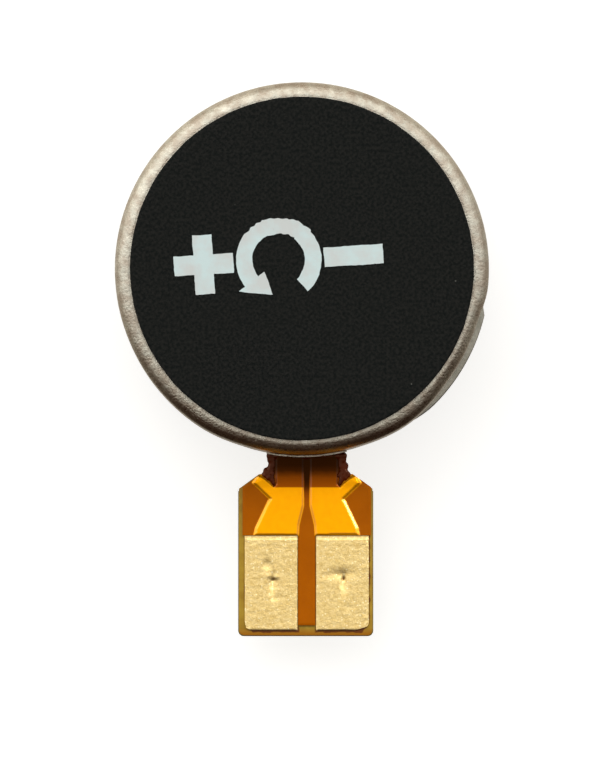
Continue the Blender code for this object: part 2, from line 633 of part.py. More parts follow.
def build_stator():
    """Everything that stays with the can."""
    make_case()
    make_base_plate()
    make_shaft()
    make_pad()
    make_exit_sealant()
    make_magnet()
    make_washers()
    for side, label in ((-1, "left"), (1, "right")):
        make_brush(side, label)


def build_rotor():
    """Everything that spins, on the shaft's axis."""
    spin_axis = axis_empty("rotor_axis", (0.0, 0.0, 0.0))
    hang_on(
        spin_axis, make_bearing(), make_board(), *make_segments(), make_counterweight(),
        make_rotor_resin(), make_coil(-1, "left"), make_coil(1, "right"), *make_coil_solder())


def build_circuit():
    """The flexible circuit: the part in the can stays, and the part beyond the bend moves."""
    bend_axis = axis_empty("tail_hinge", (0.0, -(CAN_RADIUS + BEND_OUT), BEND_Z))
    hang_on(bend_axis, make_film(), make_coverlay(), make_stiffener())
    for side, label in ((-1, "left"), (1, "right")):
        hang_on(bend_axis, make_traces(side, label), make_contact(side, label))


clear_scene()
build_stator()
build_rotor()
build_circuit()
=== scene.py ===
"""Looks of the vibration coin motor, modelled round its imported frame.

Sizes in the classes are in millimetres. A piece is modelled in millimetres, at its place, and
brought to metres when it is finished. The can's base is level with Z = 0 and the circuit's tail
points to -Y.
"""
import json
import logging
import math
from collections.abc import Callable, Iterator, Sequence
from contextlib import contextmanager
from dataclasses import dataclass, field
from enum import Enum

import bmesh
import bpy
import numpy as np
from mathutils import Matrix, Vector, noise

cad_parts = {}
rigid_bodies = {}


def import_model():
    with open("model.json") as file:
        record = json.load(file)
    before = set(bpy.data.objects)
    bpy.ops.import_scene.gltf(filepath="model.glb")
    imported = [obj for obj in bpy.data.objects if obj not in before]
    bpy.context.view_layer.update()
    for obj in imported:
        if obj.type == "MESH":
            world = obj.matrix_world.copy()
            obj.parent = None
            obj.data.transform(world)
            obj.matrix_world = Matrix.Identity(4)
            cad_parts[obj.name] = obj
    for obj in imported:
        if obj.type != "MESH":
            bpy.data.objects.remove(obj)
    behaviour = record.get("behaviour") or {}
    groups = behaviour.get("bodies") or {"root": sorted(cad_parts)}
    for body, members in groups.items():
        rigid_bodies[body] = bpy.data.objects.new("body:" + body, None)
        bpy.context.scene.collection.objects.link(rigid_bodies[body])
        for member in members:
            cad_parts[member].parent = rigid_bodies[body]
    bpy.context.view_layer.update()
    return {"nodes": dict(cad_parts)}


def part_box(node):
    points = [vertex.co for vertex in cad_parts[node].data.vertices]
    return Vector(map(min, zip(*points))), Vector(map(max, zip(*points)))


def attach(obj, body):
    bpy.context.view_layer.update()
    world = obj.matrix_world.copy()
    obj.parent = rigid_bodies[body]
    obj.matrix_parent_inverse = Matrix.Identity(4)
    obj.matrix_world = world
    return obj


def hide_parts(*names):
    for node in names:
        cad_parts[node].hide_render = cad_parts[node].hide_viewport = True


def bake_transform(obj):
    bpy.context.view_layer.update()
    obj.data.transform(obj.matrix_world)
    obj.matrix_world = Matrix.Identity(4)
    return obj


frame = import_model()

log = logging.getLogger("coin_motor")

MM = 0.001
NOISE_SEED = 7    # the worn edges come out the same each time
NEAR = 0.01       # ends this near each other are level
LEVEL = 0.99      # a face is level when its normal's Z reaches this
CENTRAL = 0.5     # a face round the axis has its middle this near to it
TINY = 1e-12      # keeps a division from a zero length
NO_REACH = 1e-6   # the same for a distance from the axis
Point = tuple[float, float]
Size = tuple[float, float, float]
Drop = tuple[float, float, float, float]
Colour = tuple[float, float, float]
Outline = Sequence[Point]
Piece = bpy.types.Object
Socket = bpy.types.NodeSocket
Material = bpy.types.Material
Test = Callable[[Vector, Vector], bool]


class Body(Enum):
    """The rigid groups of the frame."""

    CAN = "root"
    TAIL = "tail"


class Side(Enum):
    """The two halves of the circuit, as factors of the distance from its centre line."""

    LEFT = -1
    RIGHT = 1


class Pick(Enum):
    """What a selection holds in edit mode."""

    EDGES = "EDGE"
    FACES = "FACE"


class Carving(Enum):
    """What a tool does to the piece that it meets."""

    CUT = "DIFFERENCE"
    JOIN = "UNION"


# ---- the bench: operators, used on one piece at a time ---------------------

def deselect() -> None:
    """Leave nothing selected, in object mode."""
    if bpy.context.object and bpy.context.object.mode != "OBJECT":
        bpy.ops.object.mode_set(mode="OBJECT")
    bpy.ops.object.select_all(action="DESELECT")


def take(name: str) -> Piece:
    """Name the primitive that was just added.

    Args:
        name: its name.

    Returns:
        The primitive.
    """
    piece = bpy.context.object
    piece.name = name
    piece.data.name = name
    return piece


def hold(piece: Piece) -> None:
    """Make a piece the only selected one, and the active one."""
    deselect()
    piece.select_set(True)
    bpy.context.view_layer.objects.active = piece


@contextmanager
def editing(
        piece: Piece, mode: Pick = Pick.FACES, whole: bool = False) -> Iterator[None]:
    """Edit mode on one piece.

    Args:
        piece: the piece to edit.
        mode: what a selection holds.
        whole: start with all of it selected, or else with nothing.

    Yields:
        Once, in edit mode.
    """
    hold(piece)
    bpy.ops.object.mode_set(mode="EDIT")
    bpy.ops.mesh.select_mode(type=mode.value)
    bpy.ops.mesh.select_all(action="SELECT" if whole else "DESELECT")
    yield
    bpy.ops.object.mode_set(mode="OBJECT")


def pick_faces(piece: Piece, test: Test) -> None:
    """Select the faces that pass a test, in edit mode.

    Args:
        piece: the piece being edited.
        test: takes a face's middle and its normal, and says whether it is wanted.
    """
    shape = bmesh.from_edit_mesh(piece.data)
    for face in shape.faces:
        face.select_set(test(face.calc_center_median(), face.normal))
    shape.select_flush_mode()
    bmesh.update_edit_mesh(piece.data)


def pick_edges(piece: Piece, test: Test) -> None:
    """Select the edges whose two ends pass a test, in edit mode.

    Args:
        piece: the piece being edited.
        test: takes the places of an edge's two ends, and says whether it is wanted.
    """
    shape = bmesh.from_edit_mesh(piece.data)
    for edge in shape.edges:
        edge.select_set(test(edge.verts[0].co, edge.verts[1].co))
    bmesh.update_edit_mesh(piece.data)


def pick_level(piece: Piece) -> None:
    """Select a piece's level edges, in edit mode."""
    pick_edges(piece, lambda a, b: abs(a.z - b.z) < NEAR)


def pick_top(piece: Piece) -> None:
    """Select the face that closes a disc's top, in edit mode."""
    pick_faces(piece, lambda middle, normal: normal.z > LEVEL and axis_distance(middle) < CENTRAL)


def axis_distance(point: Vector) -> float:
    """Distance of a point from the Z axis."""
    return math.hypot(point.x, point.y)


def polar(reach: float, turn: float) -> Point:
    """A point at a distance and an angle from the middle."""
    return (reach * math.cos(turn), reach * math.sin(turn))


def slide(offset: Sequence[float]) -> dict[str, tuple[float, ...]]:
    """The move that an extrude operator makes at its end."""
    return {"value": tuple(offset)}


def settle(piece: Piece) -> None:
    """Put a piece's place into its mesh."""
    hold(piece)
    bpy.ops.object.transform_apply(location=True, rotation=True, scale=True)


def add_modifier(piece: Piece, kind: str, **settings: object) -> None:
    """Finish a piece with a modifier and apply it.

    Args:
        piece: the piece.
        kind: the modifier's type.
        settings: the modifier's own settings.
    """
    hold(piece)
    modifier = piece.modifiers.new(kind.lower(), kind)
    for key, value in settings.items():
        setattr(modifier, key, value)
    bpy.ops.object.modifier_apply(modifier=modifier.name)


def carve(piece: Piece, tool: Piece, carving: Carving) -> None:
    """Cut a tool from a piece, or join it, and throw the tool away.

    Args:
        piece: the piece.
        tool: the solid that is cut away or joined.
        carving: which of the two.
    """
    add_modifier(piece, "BOOLEAN", object=tool, operation=carving.value, solver="EXACT")
    bpy.data.objects.remove(tool, do_unlink=True)


def soften(piece: Piece, width: float, segments: int, angle: float) -> None:
    """Break a piece's sharp edges.

    Args:
        piece: the piece.
        width: width of each broken edge.
        segments: steps across it.
        angle: edges sharper than this many degrees are broken.
    """
    add_modifier(piece, "BEVEL", width=width, segments=segments, limit_method="ANGLE",
                 angle_limit=math.radians(angle))


def face_out(piece: Piece) -> None:
    """Turn every face of a piece outwards."""
    with editing(piece, whole=True):
        bpy.ops.mesh.normals_make_consistent(inside=False)


def finish_piece(
        piece: Piece, finish: str, *nodes: str, body: Body | None = None,
        slot: str = "", angle: float = 35.0) -> None:
    """Bring a piece to metres, shade it and dress it.

    Args:
        piece: the finished piece, in millimetres.
        finish: its finish.
        nodes: the CAD nodes that it stands for.
        body: the body that it rides on, or nothing when it rides on no body.
        slot: the record's slot for the finish, when it has another name; not used.
        angle: edges sharper than this many degrees stay sharp.
    """
    settle(piece)
    piece.scale = (MM, MM, MM)
    settle(piece)
    bpy.ops.object.shade_smooth_by_angle(angle=math.radians(angle))
    piece.data.materials.clear()
    piece.data.materials.append(Finishes.get(finish))
    if nodes:
        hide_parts(*nodes)
    if body:
        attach(piece, body.value)
    log.info("%s: %d faces", piece.name, len(piece.data.polygons))


def outline_slab(name: str, outline: Outline, low: float, high: float) -> Piece:
    """A flat piece with a free outline.

    Args:
        name: the piece's name.
        outline: its corners, in order round it.
        low: height of its underside.
        high: height of its top.

    Returns:
        The piece, in millimetres.
    """
    deselect()
    bpy.ops.mesh.primitive_circle_add(vertices=len(outline), radius=1.0, fill_type="NGON")
    piece = take(name)
    for corner, (x, y) in zip(piece.data.vertices, outline):
        corner.co = (x, y, low)
    with editing(piece, whole=True):
        bpy.ops.mesh.extrude_region_move(TRANSFORM_OT_translate=slide((0, 0, high - low)))
    face_out(piece)
    return piece


def cut_rows(piece: Piece, first: float, last: float, rows: int) -> None:
    """Cut level loops across a piece along Y, so that it can bend there.

    Args:
        piece: the piece.
        first: Y of the first cut.
        last: Y of the last cut.
        rows: how many cuts.
    """
    for row in range(rows):
        place = first + (last - first) * row / (rows - 1)
        with editing(piece, whole=True):
            bpy.ops.mesh.bisect(plane_co=(0, place, 0), plane_no=(0, 1, 0))


def outline_distance(points: np.ndarray, outline: Outline) -> np.ndarray:
    """Distance of points from an outline, negative inside it.

    Args:
        points: one row of x, y for each point.
        outline: the outline's corners, in order round it.

    Returns:
        One distance for each point.
    """
    corners = np.array(outline, float)
    nearest = np.full(len(points), np.inf)
    inside = np.zeros(len(points), bool)
    for start, end in zip(corners, np.roll(corners, -1, axis=0)):
        edge = end - start
        share = np.clip(((points - start) @ edge) / max(edge @ edge, TINY), 0.0, 1.0)
        gap = points - start - share[:, None] * edge
        nearest = np.minimum(nearest, np.hypot(gap[:, 0], gap[:, 1]))
        crosses = (start[1] > points[:, 1]) != (end[1] > points[:, 1])
        rise = edge[1] if abs(edge[1]) > TINY else TINY
        reach = start[0] + (points[:, 1] - start[1]) * edge[0] / rise
        inside ^= crosses & (points[:, 0] < reach)
    return np.where(inside, -nearest, nearest)


def smooth_step(low: float, high: float, value: np.ndarray) -> np.ndarray:
    """Rise smoothly from 0 at low to 1 at high."""
    share = np.clip((value - low) / (high - low), 0.0, 1.0)
    return share * share * (3 - 2 * share)


def read_points(piece: Piece) -> np.ndarray:
    """A piece's corners, one row of x, y, z each."""
    flat = np.empty(len(piece.data.vertices) * 3)
    piece.data.vertices.foreach_get("co", flat)
    return flat.reshape(-1, 3)


def write_points(piece: Piece, points: np.ndarray) -> None:
    """Move a piece's corners to new places."""
    piece.data.vertices.foreach_set("co", points.ravel())
    piece.data.update()


@dataclass(frozen=True)
class Span:
    """Box that a CAD node fills, in millimetres."""

    low: Vector
    high: Vector

    @classmethod
    def of(cls, node: str) -> "Span":
        """Read the box of a CAD node."""
        low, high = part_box(node)
        return cls(low / MM, high / MM)

    @property
    def middle(self) -> Vector:
        """Middle of the box."""
        return (self.low + self.high) / 2

    @property
    def radius(self) -> float:
        """Half the box's width along X."""
        return (self.high.x - self.low.x) / 2


# ---- shader effects, built once as node groups -----------------------------

Value = float | Colour | Socket


class Canvas:
    """A node tree that is being drawn."""

    def __init__(self, tree: bpy.types.NodeTree) -> None:
        """Start on a tree."""
        self.tree = tree

    def add(self, kind: str, settings: dict[str, object] | None = None,
            inputs: dict[str | int, Value] | None = None) -> bpy.types.Node:
        """Add a node.

        Args:
            kind: the node's type.
            settings: the node's own settings.
            inputs: a value, or a socket to link, for each input by name or number.

        Returns:
            The node.
        """
        node = self.tree.nodes.new(kind)
        for key, value in (settings or {}).items():
            setattr(node, key, value)
        for key, value in (inputs or {}).items():
            self.plug(node.inputs[key], value)
        return node

    def plug(self, socket: Socket, value: Value) -> None:
        """Set an input, or link it to another node's output.

        Args:
            socket: the input.
            value: a number, a colour, or the output that it is linked to.
        """
        if isinstance(value, Socket):
            self.tree.links.new(value, socket)
        elif isinstance(value, tuple) and socket.type == "RGBA":
            socket.default_value = (*value, 1.0)
        else:
            socket.default_value = value

    def maths(self, operation: str, first: Value, second: Value = 0.0) -> Socket:
        """Add a Math node and return its value."""
        node = self.add("ShaderNodeMath", {"operation": operation}, {0: first, 1: second})
        return node.outputs[0]

    def remap(self, value: Value, source: Point, target: Point) -> Socket:
        """Bring a value from one range to another, and keep it inside."""
        inputs = {"Value": value, "From Min": source[0], "From Max": source[1],
                  "To Min": target[0], "To Max": target[1]}
        return self.add("ShaderNodeMapRange", {"clamp": True}, inputs).outputs[0]

    def blend(self, share: Value, first: Value, second: Value) -> Socket:
        """Mix two colours."""
        node = self.add("ShaderNodeMix", {"data_type": "RGBA"}, {0: share, 6: first, 7: second})
        return node.outputs[2]

    def place(self, stretch: Size = (1.0, 1.0, 1.0)) -> Socket:
        """Object coordinates in millimetres.

        Args:
            stretch: how much closer a pattern lies along each axis.

        Returns:
            The coordinates.
        """
        seat = self.add("ShaderNodeTexCoord").outputs["Object"]
        factors = tuple(share / MM for share in stretch)
        node = self.add("ShaderNodeVectorMath", {"operation": "MULTIPLY"}, {0: seat, 1: factors})
        return node.outputs[0]

    def axes(self) -> dict[str, Socket]:
        """Object coordinates in millimetres, apart, as X, Y and Z."""
        parts = self.add("ShaderNodeSeparateXYZ", None, {0: self.place()})
        return {axis: parts.outputs[axis] for axis in "XYZ"}

    def ramp(self, value: Value, stops: Sequence[tuple[float, Colour]]) -> Socket:
        """Add a colour ramp.

        Args:
            value: where to read the ramp, from 0 to 1.
            stops: the place and the colour of each stop.

        Returns:
            The colour.
        """
        node = self.add("ShaderNodeValToRGB", None, {0: value})
        elements = node.color_ramp.elements
        while len(elements) < len(stops):
            elements.new(0.5)
        for element, (place, colour) in zip(elements, stops):
            element.position = place
            element.color = (*colour, 1.0)
        return node.outputs[0]


def new_group(
        name: str, inputs: dict[str, Value],
        outputs: dict[str, str]) -> tuple[Canvas, bpy.types.Node, bpy.types.Node]:
    """Start a shader node group.

    Args:
        name: the group's name.
        inputs: its inputs with their usual values; a tuple is a colour.
        outputs: its outputs with their socket types.

    Returns:
        The canvas, the node that holds the inputs and the node that takes the outputs.
    """
    tree = bpy.data.node_groups.new(name, "ShaderNodeTree")
    for key, value in inputs.items():
        kind = "NodeSocketColor" if isinstance(value, tuple) else "NodeSocketFloat"
        socket = tree.interface.new_socket(key, in_out="INPUT", socket_type=kind)
        socket.default_value = (*value, 1.0) if isinstance(value, tuple) else value
    for key, kind in outputs.items():
        tree.interface.new_socket(key, in_out="OUTPUT", socket_type=kind)
    canvas = Canvas(tree)
    return canvas, canvas.add("NodeGroupInput"), canvas.add("NodeGroupOutput")


def mottle_group() -> bpy.types.NodeTree:
    """Two colours in soft patches. Scale is in patches for each millimetre.

    Returns:
        The group.
    """
    inputs = {"Main": (0.5, 0.5, 0.5), "Other": (0.4, 0.4, 0.4), "Scale": 1.0, "Contrast": 0.2}
    outputs = {"Color": "NodeSocketColor", "Mask": "NodeSocketFloat"}
    canvas, given, made = new_group("mottle", inputs, outputs)
    cloud = canvas.add("ShaderNodeTexNoise", None, {
        "Vector": canvas.place(), "Scale": given.outputs["Scale"], "Detail": 5.0, "Roughness": 0.6})
    low = canvas.maths("SUBTRACT", 0.5, given.outputs["Contrast"])
    high = canvas.maths("ADD", 0.5, given.outputs["Contrast"])
    mask = canvas.add("ShaderNodeMapRange", {"clamp": True}, {
        "Value": cloud.outputs[0], "From Min": low, "From Max": high}).outputs[0]
    colour = canvas.blend(mask, given.outputs["Main"], given.outputs["Other"])
    canvas.plug(made.inputs["Color"], colour)
    canvas.plug(made.inputs["Mask"], mask)
    return canvas.tree


def grain_group() -> bpy.types.NodeTree:
    """Fine surface grain, as a height and a roughness round a middle value.

    Returns:
        The group.
    """
    inputs = {"Scale": 20.0, "Roughness": 0.4, "Spread": 0.1}
    outputs = {"Height": "NodeSocketFloat", "Roughness": "NodeSocketFloat"}
    canvas, given, made = new_group("grain", inputs, outputs)
    fine = canvas.add("ShaderNodeTexNoise", None, {
        "Vector": canvas.place(), "Scale": given.outputs["Scale"], "Detail": 4.0,
        "Roughness": 0.65})
    middle = canvas.maths("SUBTRACT", fine.outputs[0], 0.5)
    swing = canvas.maths("MULTIPLY", middle, given.outputs["Spread"])
    canvas.plug(made.inputs["Height"], fine.outputs[0])
    canvas.plug(made.inputs["Roughness"], canvas.maths("ADD", given.outputs["Roughness"], swing))
    return canvas.tree


def scuff_group() -> bpy.types.NodeTree:
    """Short fine scratches, mostly along one way, as a mask.

    Returns:
        The group.
    """
    inputs = {"Scale": 6.0, "Amount": 0.3}
    canvas, given, made = new_group("scuff", inputs, {"Mask": "NodeSocketFloat"})
    lines = canvas.add("ShaderNodeTexNoise", {"noise_dimensions": "3D"}, {
        "Vector": canvas.place((0.6, 9.0, 4.0)), "Scale": given.outputs["Scale"], "Detail": 3.0})
    patches = canvas.add("ShaderNodeTexNoise", None, {
        "Vector": canvas.place(), "Scale": 0.9, "Detail": 2.0})
    thin = canvas.remap(lines.outputs[0], (0.60, 0.66), (0.0, 1.0))
    where = canvas.remap(patches.outputs[0], (0.45, 0.62), (0.0, 1.0))
    mask = canvas.maths("MULTIPLY", canvas.maths("MULTIPLY", thin, where), given.outputs["Amount"])
    canvas.plug(made.inputs["Mask"], mask)
    return canvas.tree


def weave_group() -> bpy.types.NodeTree:
    """Plain weave of fine threads, as a height. Threads is their number in a millimetre.

    Returns:
        The group.
    """
    inputs = {"Threads": 8.0}
    canvas, given, made = new_group("weave", inputs, {"Height": "NodeSocketFloat"})
    axes = canvas.axes()
    turn = canvas.maths("MULTIPLY", given.outputs["Threads"], math.tau)
    warp = canvas.maths("SINE", canvas.maths("MULTIPLY", axes["X"], turn))
    weft = canvas.maths("SINE", canvas.maths("MULTIPLY", axes["Y"], turn))
    over = canvas.maths("MULTIPLY", warp, weft)
    canvas.plug(made.inputs["Height"], canvas.remap(over, (-1.0, 1.0), (0.0, 1.0)))
    return canvas.tree


def turning_group() -> bpy.types.NodeTree:
    """Fine rings round the Z axis, as a lathe or a press leaves them, as a height.

    Returns:
        The group.
    """
    inputs = {"Scale": 12.0}
    canvas, given, made = new_group("turning", inputs, {"Height": "NodeSocketFloat"})
    axes = canvas.axes()
    flat = canvas.add("ShaderNodeCombineXYZ", None, {0: axes["X"], 1: axes["Y"]})
    length = canvas.add("ShaderNodeVectorMath", {"operation": "LENGTH"}, {0: flat.outputs[0]})
    spot = canvas.add("ShaderNodeCombineXYZ", None, {0: length.outputs["Value"], 1: axes["Z"]})
    rings = canvas.add("ShaderNodeTexNoise", {"noise_dimensions": "2D"}, {
        "Vector": spot.outputs[0], "Scale": given.outputs["Scale"], "Detail": 2.0})
    canvas.plug(made.inputs["Height"], rings.outputs[0])
    return canvas.tree


def speck_group() -> bpy.types.NodeTree:
    """Scattered small specks, as a mask. Scale is in cells for each millimetre.

    Returns:
        The group.
    """
    inputs = {"Scale": 10.0, "Size": 0.2}
    outputs = {"Mask": "NodeSocketFloat", "Shade": "NodeSocketFloat"}
    canvas, given, made = new_group("speck", inputs, outputs)
    cells = canvas.add("ShaderNodeTexVoronoi", {"feature": "F1"}, {
        "Vector": canvas.place(), "Scale": given.outputs["Scale"]})
    inner = canvas.maths("MULTIPLY", given.outputs["Size"], 0.5)
    mask = canvas.add("ShaderNodeMapRange", {"clamp": True}, {
        "Value": cells.outputs["Distance"], "From Min": given.outputs["Size"],
        "From Max": inner})
    shade = canvas.add("ShaderNodeSeparateColor", None, {0: cells.outputs["Color"]})
    canvas.plug(made.inputs["Mask"], mask.outputs[0])
    canvas.plug(made.inputs["Shade"], shade.outputs[0])
    return canvas.tree


class Effect(Enum):
    """Effects that more than one finish uses, by the name of their group."""

    MOTTLE = "mottle"
    GRAIN = "grain"
    SCUFF = "scuff"
    WEAVE = "weave"
    TURNING = "turning"
    SPECK = "speck"

    def tree(self) -> bpy.types.NodeTree:
        """Draw the effect's group on first use.

        Returns:
            The group.
        """
        makers = {
            Effect.MOTTLE: mottle_group, Effect.GRAIN: grain_group, Effect.SCUFF: scuff_group,
            Effect.WEAVE: weave_group, Effect.TURNING: turning_group, Effect.SPECK: speck_group}
        return bpy.data.node_groups.get(self.value) or makers[self]()


class Coat(Canvas):
    """The node tree of one material, with its shader."""

    def __init__(self, name: str) -> None:
        """Start a material.

        Args:
            name: its name.
        """
        self.material = bpy.data.materials.new(name)
        self.material.use_nodes = True
        super().__init__(self.material.node_tree)
        self.shader = self.tree.nodes["Principled BSDF"]

    def effect(self, effect: Effect, **inputs: Value) -> bpy.types.Node:
        """Place a shared effect in this material.

        Args:
            effect: which effect.
            inputs: its values in this material.

        Returns:
            The effect's node.
        """
        node = self.add("ShaderNodeGroup", {"node_tree": effect.tree()})
        for key, value in inputs.items():
            self.plug(node.inputs[key], value)
        return node

    def bump(
            self, height: Value, depth: float,
            under: Socket | None = None) -> Socket:
        """Add relief.

        Args:
            height: the relief, from 0 to 1.
            depth: how deep it is, in millimetres.
            under: the normal of the relief below it.

        Returns:
            The new normal.
        """
        node = self.add("ShaderNodeBump", None, {
            "Strength": 1.0, "Distance": depth * MM, "Height": height})
        if under is not None:
            self.plug(node.inputs["Normal"], under)
        return node.outputs[0]

    def cloud(self, scale: float) -> Socket:
        """Height of a soft cloud, for a ragged border, with so many patches in a millimetre."""
        return self.effect(Effect.GRAIN, Scale=scale, Spread=0.0).outputs["Height"]

    def set(self, **values: Value) -> None:
        """Set or link the shader's sockets, named with _ for a space."""
        for key, value in values.items():
            self.plug(self.shader.inputs[key.replace("_", " ")], value)


# ---- finishes ---------------------------------------------------------------

@dataclass(frozen=True)
class MetalFinish:
    """Plain or plated metal with patches, fine grain and a few scratches."""

    name: str
    colour: Colour
    patch: Colour
    roughness: float = 0.3
    spread: float = 0.15
    patch_scale: float = 0.8
    grain: float = 30.0
    depth: float = 0.001
    scuffs: float = 0.4
    rings: float = 0.0
    scuff_polish: float = 0.15        # how much smoother the metal is in a scratch

    def material(self) -> Material:
        """Draw the finish.

        Returns:
            The material.
        """
        coat = Coat(self.name)
        tone = coat.effect(
            Effect.MOTTLE, Main=self.colour, Other=self.patch, Scale=self.patch_scale)
        grain = coat.effect(
            Effect.GRAIN, Scale=self.grain, Roughness=self.roughness, Spread=self.spread)
        scuff = coat.effect(Effect.SCUFF, Amount=self.scuffs).outputs["Mask"]
        bright = tuple(min(1.0, share * 1.25 + 0.05) for share in self.colour)
        colour = self.soil_and_shade(coat, coat.blend(scuff, tone.outputs["Color"], bright))
        polish = coat.maths("MULTIPLY", scuff, self.scuff_polish)
        rough = coat.maths("SUBTRACT", grain.outputs["Roughness"], polish)
        normal = coat.bump(grain.outputs["Height"], self.depth)
        if self.rings:
            rings = coat.effect(Effect.TURNING, Scale=self.rings)
            normal = coat.bump(rings.outputs["Height"], self.depth, normal)
        coat.set(Base_Color=colour, Roughness=rough, Metallic=1.0, Normal=normal)
        return coat.material

    def soil_and_shade(self, coat: Coat, colour: Socket) -> Socket:
        """Plain metal stays clean, with no painted shade."""
        return colour


@dataclass(frozen=True)
class CanFinish(MetalFinish):
    """Plated can with dull patches, and painted shade: darker towards the seam at its foot, and
    dark brown over the exit.
    """

    tarnish: Colour = (0.36, 0.27, 0.21)
    tarnish_scale: float = 3.4
    tarnish_share: float = 0.55
    # painted shade at the can's foot, darker towards the seam
    seam_shade: Colour = (0.16, 0.125, 0.09)
    seam_shade_top: Point = (0.34, 0.75)   # full below the first height, gone above the second
    seam_shade_share: float = 0.75
    # painted shade over the exit: dark brown in place of the corner's reflection of the shaded neck
    film: Colour = (0.13, 0.065, 0.035)
    exit_shade_height: Point = (0.605, 0.61)
    edge_fade: Point = (-4.80, -4.93)
    exit_shade_half: Point = (2.1, 1.0)
    exit_shade_share: float = 0.85

    def soil_and_shade(self, coat: Coat, colour: Socket) -> Socket:
        """Dull the metal in patches, and darken it with painted shade near the seam and over the
        exit.

        Args:
            coat: the material being drawn.
            colour: the clean metal.

        Returns:
            The dulled colour, with its painted shade.
        """
        axes = coat.axes()
        dull = coat.effect(Effect.MOTTLE, Scale=self.tarnish_scale, Contrast=0.10).outputs["Mask"]
        dulled = coat.blend(coat.maths("MULTIPLY", dull, self.tarnish_share), colour, self.tarnish)
        # painted shade, darker towards the seam at the can's foot
        height = coat.maths("ADD", axes["Z"], coat.maths("MULTIPLY", coat.cloud(2.2), 0.3))
        seam = coat.remap(height, self.seam_shade_top[::-1], (0.0, self.seam_shade_share))
        tarnished_and_shaded = coat.blend(seam, dulled, self.seam_shade)
        # painted shade over the exit, in place of the corner's dark reflection of the neck
        near = coat.remap(axes["Y"], self.edge_fade, (0.0, self.exit_shade_share))
        over = coat.remap(axes["Z"], self.exit_shade_height, (0.0, 1.0))
        along = coat.remap(coat.maths("ABSOLUTE", axes["X"]), self.exit_shade_half, (0.0, 1.0))
        film = coat.maths("MULTIPLY", coat.maths("MULTIPLY", near, over), along)
        return coat.blend(film, tarnished_and_shaded, self.film)


@dataclass(frozen=True)
class ResinFinish:
    """Moulded, cast or coated plastic with slight patches and an orange-peel surface."""

    name: str
    colour: Colour
    patch: Colour
    roughness: float = 0.4
    spread: float = 0.1
    patch_scale: float = 1.2
    grain: float = 14.0
    depth: float = 0.001
    coat_weight: float = 0.0
    threads: float = 0.0
    gloss: float = 0.5
    tint: Colour = (1.0, 1.0, 1.0)

    def material(self) -> Material:
        """Draw the finish.

        Returns:
            The material.
        """
        coat = Coat(self.name)
        tone = coat.effect(
            Effect.MOTTLE, Main=self.colour, Other=self.patch, Scale=self.patch_scale)
        grain = coat.effect(
            Effect.GRAIN, Scale=self.grain, Roughness=self.roughness, Spread=self.spread)
        normal = coat.bump(grain.outputs["Height"], self.depth)
        if self.threads:
            weave = coat.effect(Effect.WEAVE, Threads=self.threads)
            normal = coat.bump(weave.outputs["Height"], self.depth, normal)
        coat.set(Base_Color=tone.outputs["Color"], Roughness=grain.outputs["Roughness"])
        coat.set(Coat_Weight=self.coat_weight, Coat_Roughness=0.08, Normal=normal)
        coat.set(Specular_IOR_Level=self.gloss, Specular_Tint=self.tint)
        return coat.material


@dataclass(frozen=True)
class FoamFinish:
    """Near-black closed-cell foam with a cloth-like face and pale dust."""

    name: str = "black_foam"
    colour: Colour = (0.0050, 0.0066, 0.0066)
    patch: Colour = (0.0140, 0.0144, 0.0138)
    dust: Colour = (0.10, 0.10, 0.095)
    threads: float = 7.0
    thread_depth: float = 0.006
    cell_depth: float = 0.012

    def material(self) -> Material:
        """Draw the finish.

        Returns:
            The material.
        """
        coat = Coat(self.name)
        tone = coat.effect(
            Effect.MOTTLE, Main=self.colour, Other=self.patch, Scale=12.0, Contrast=0.10)
        weave = coat.effect(Effect.WEAVE, Threads=self.threads)
        grain = coat.effect(Effect.GRAIN, Scale=26.0, Roughness=0.82, Spread=0.25)
        dust = coat.effect(Effect.SPECK, Scale=1.7, Size=0.045)
        rare = coat.remap(dust.outputs["Shade"], (0.80, 0.86), (0.0, 1.0))
        speck = coat.maths("MULTIPLY", dust.outputs["Mask"], rare)
        normal = coat.bump(weave.outputs["Height"], self.thread_depth)
        normal = coat.bump(grain.outputs["Height"], self.cell_depth, normal)
        coat.set(Base_Color=coat.blend(speck, tone.outputs["Color"], self.dust))
        coat.set(Roughness=grain.outputs["Roughness"], Normal=normal, Specular_IOR_Level=0.10)
        return coat.material


@dataclass(frozen=True)
class PrintFinish:
    """White ink, slightly grey, rubbed thin in places so that the foam shows."""

    name: str = "white_print"
    colour: Colour = (0.60, 0.74, 0.78)
    thin: Colour = (0.60, 0.64, 0.66)
    foam: Colour = (0.05, 0.045, 0.04)
    depth: float = 0.004

    def material(self) -> Material:
        """Draw the finish.

        Returns:
            The material.
        """
        coat = Coat(self.name)
        tone = coat.effect(
            Effect.MOTTLE, Main=self.colour, Other=self.thin, Scale=1.4, Contrast=0.12)
        rub = coat.effect(Effect.GRAIN, Scale=9.0, Roughness=0.55, Spread=0.2)
        worn = coat.remap(rub.outputs["Height"], (0.70, 0.76), (0.0, 0.6))
        normal = coat.bump(rub.outputs["Height"], self.depth)
        coat.set(Base_Color=coat.blend(worn, tone.outputs["Color"], self.foam))
        coat.set(Roughness=rub.outputs["Roughness"], Normal=normal)
        return coat.material


COPPER_NOTE = "over_copper"       # the coverlay's attributes
SLOPE_NOTE = "slope"


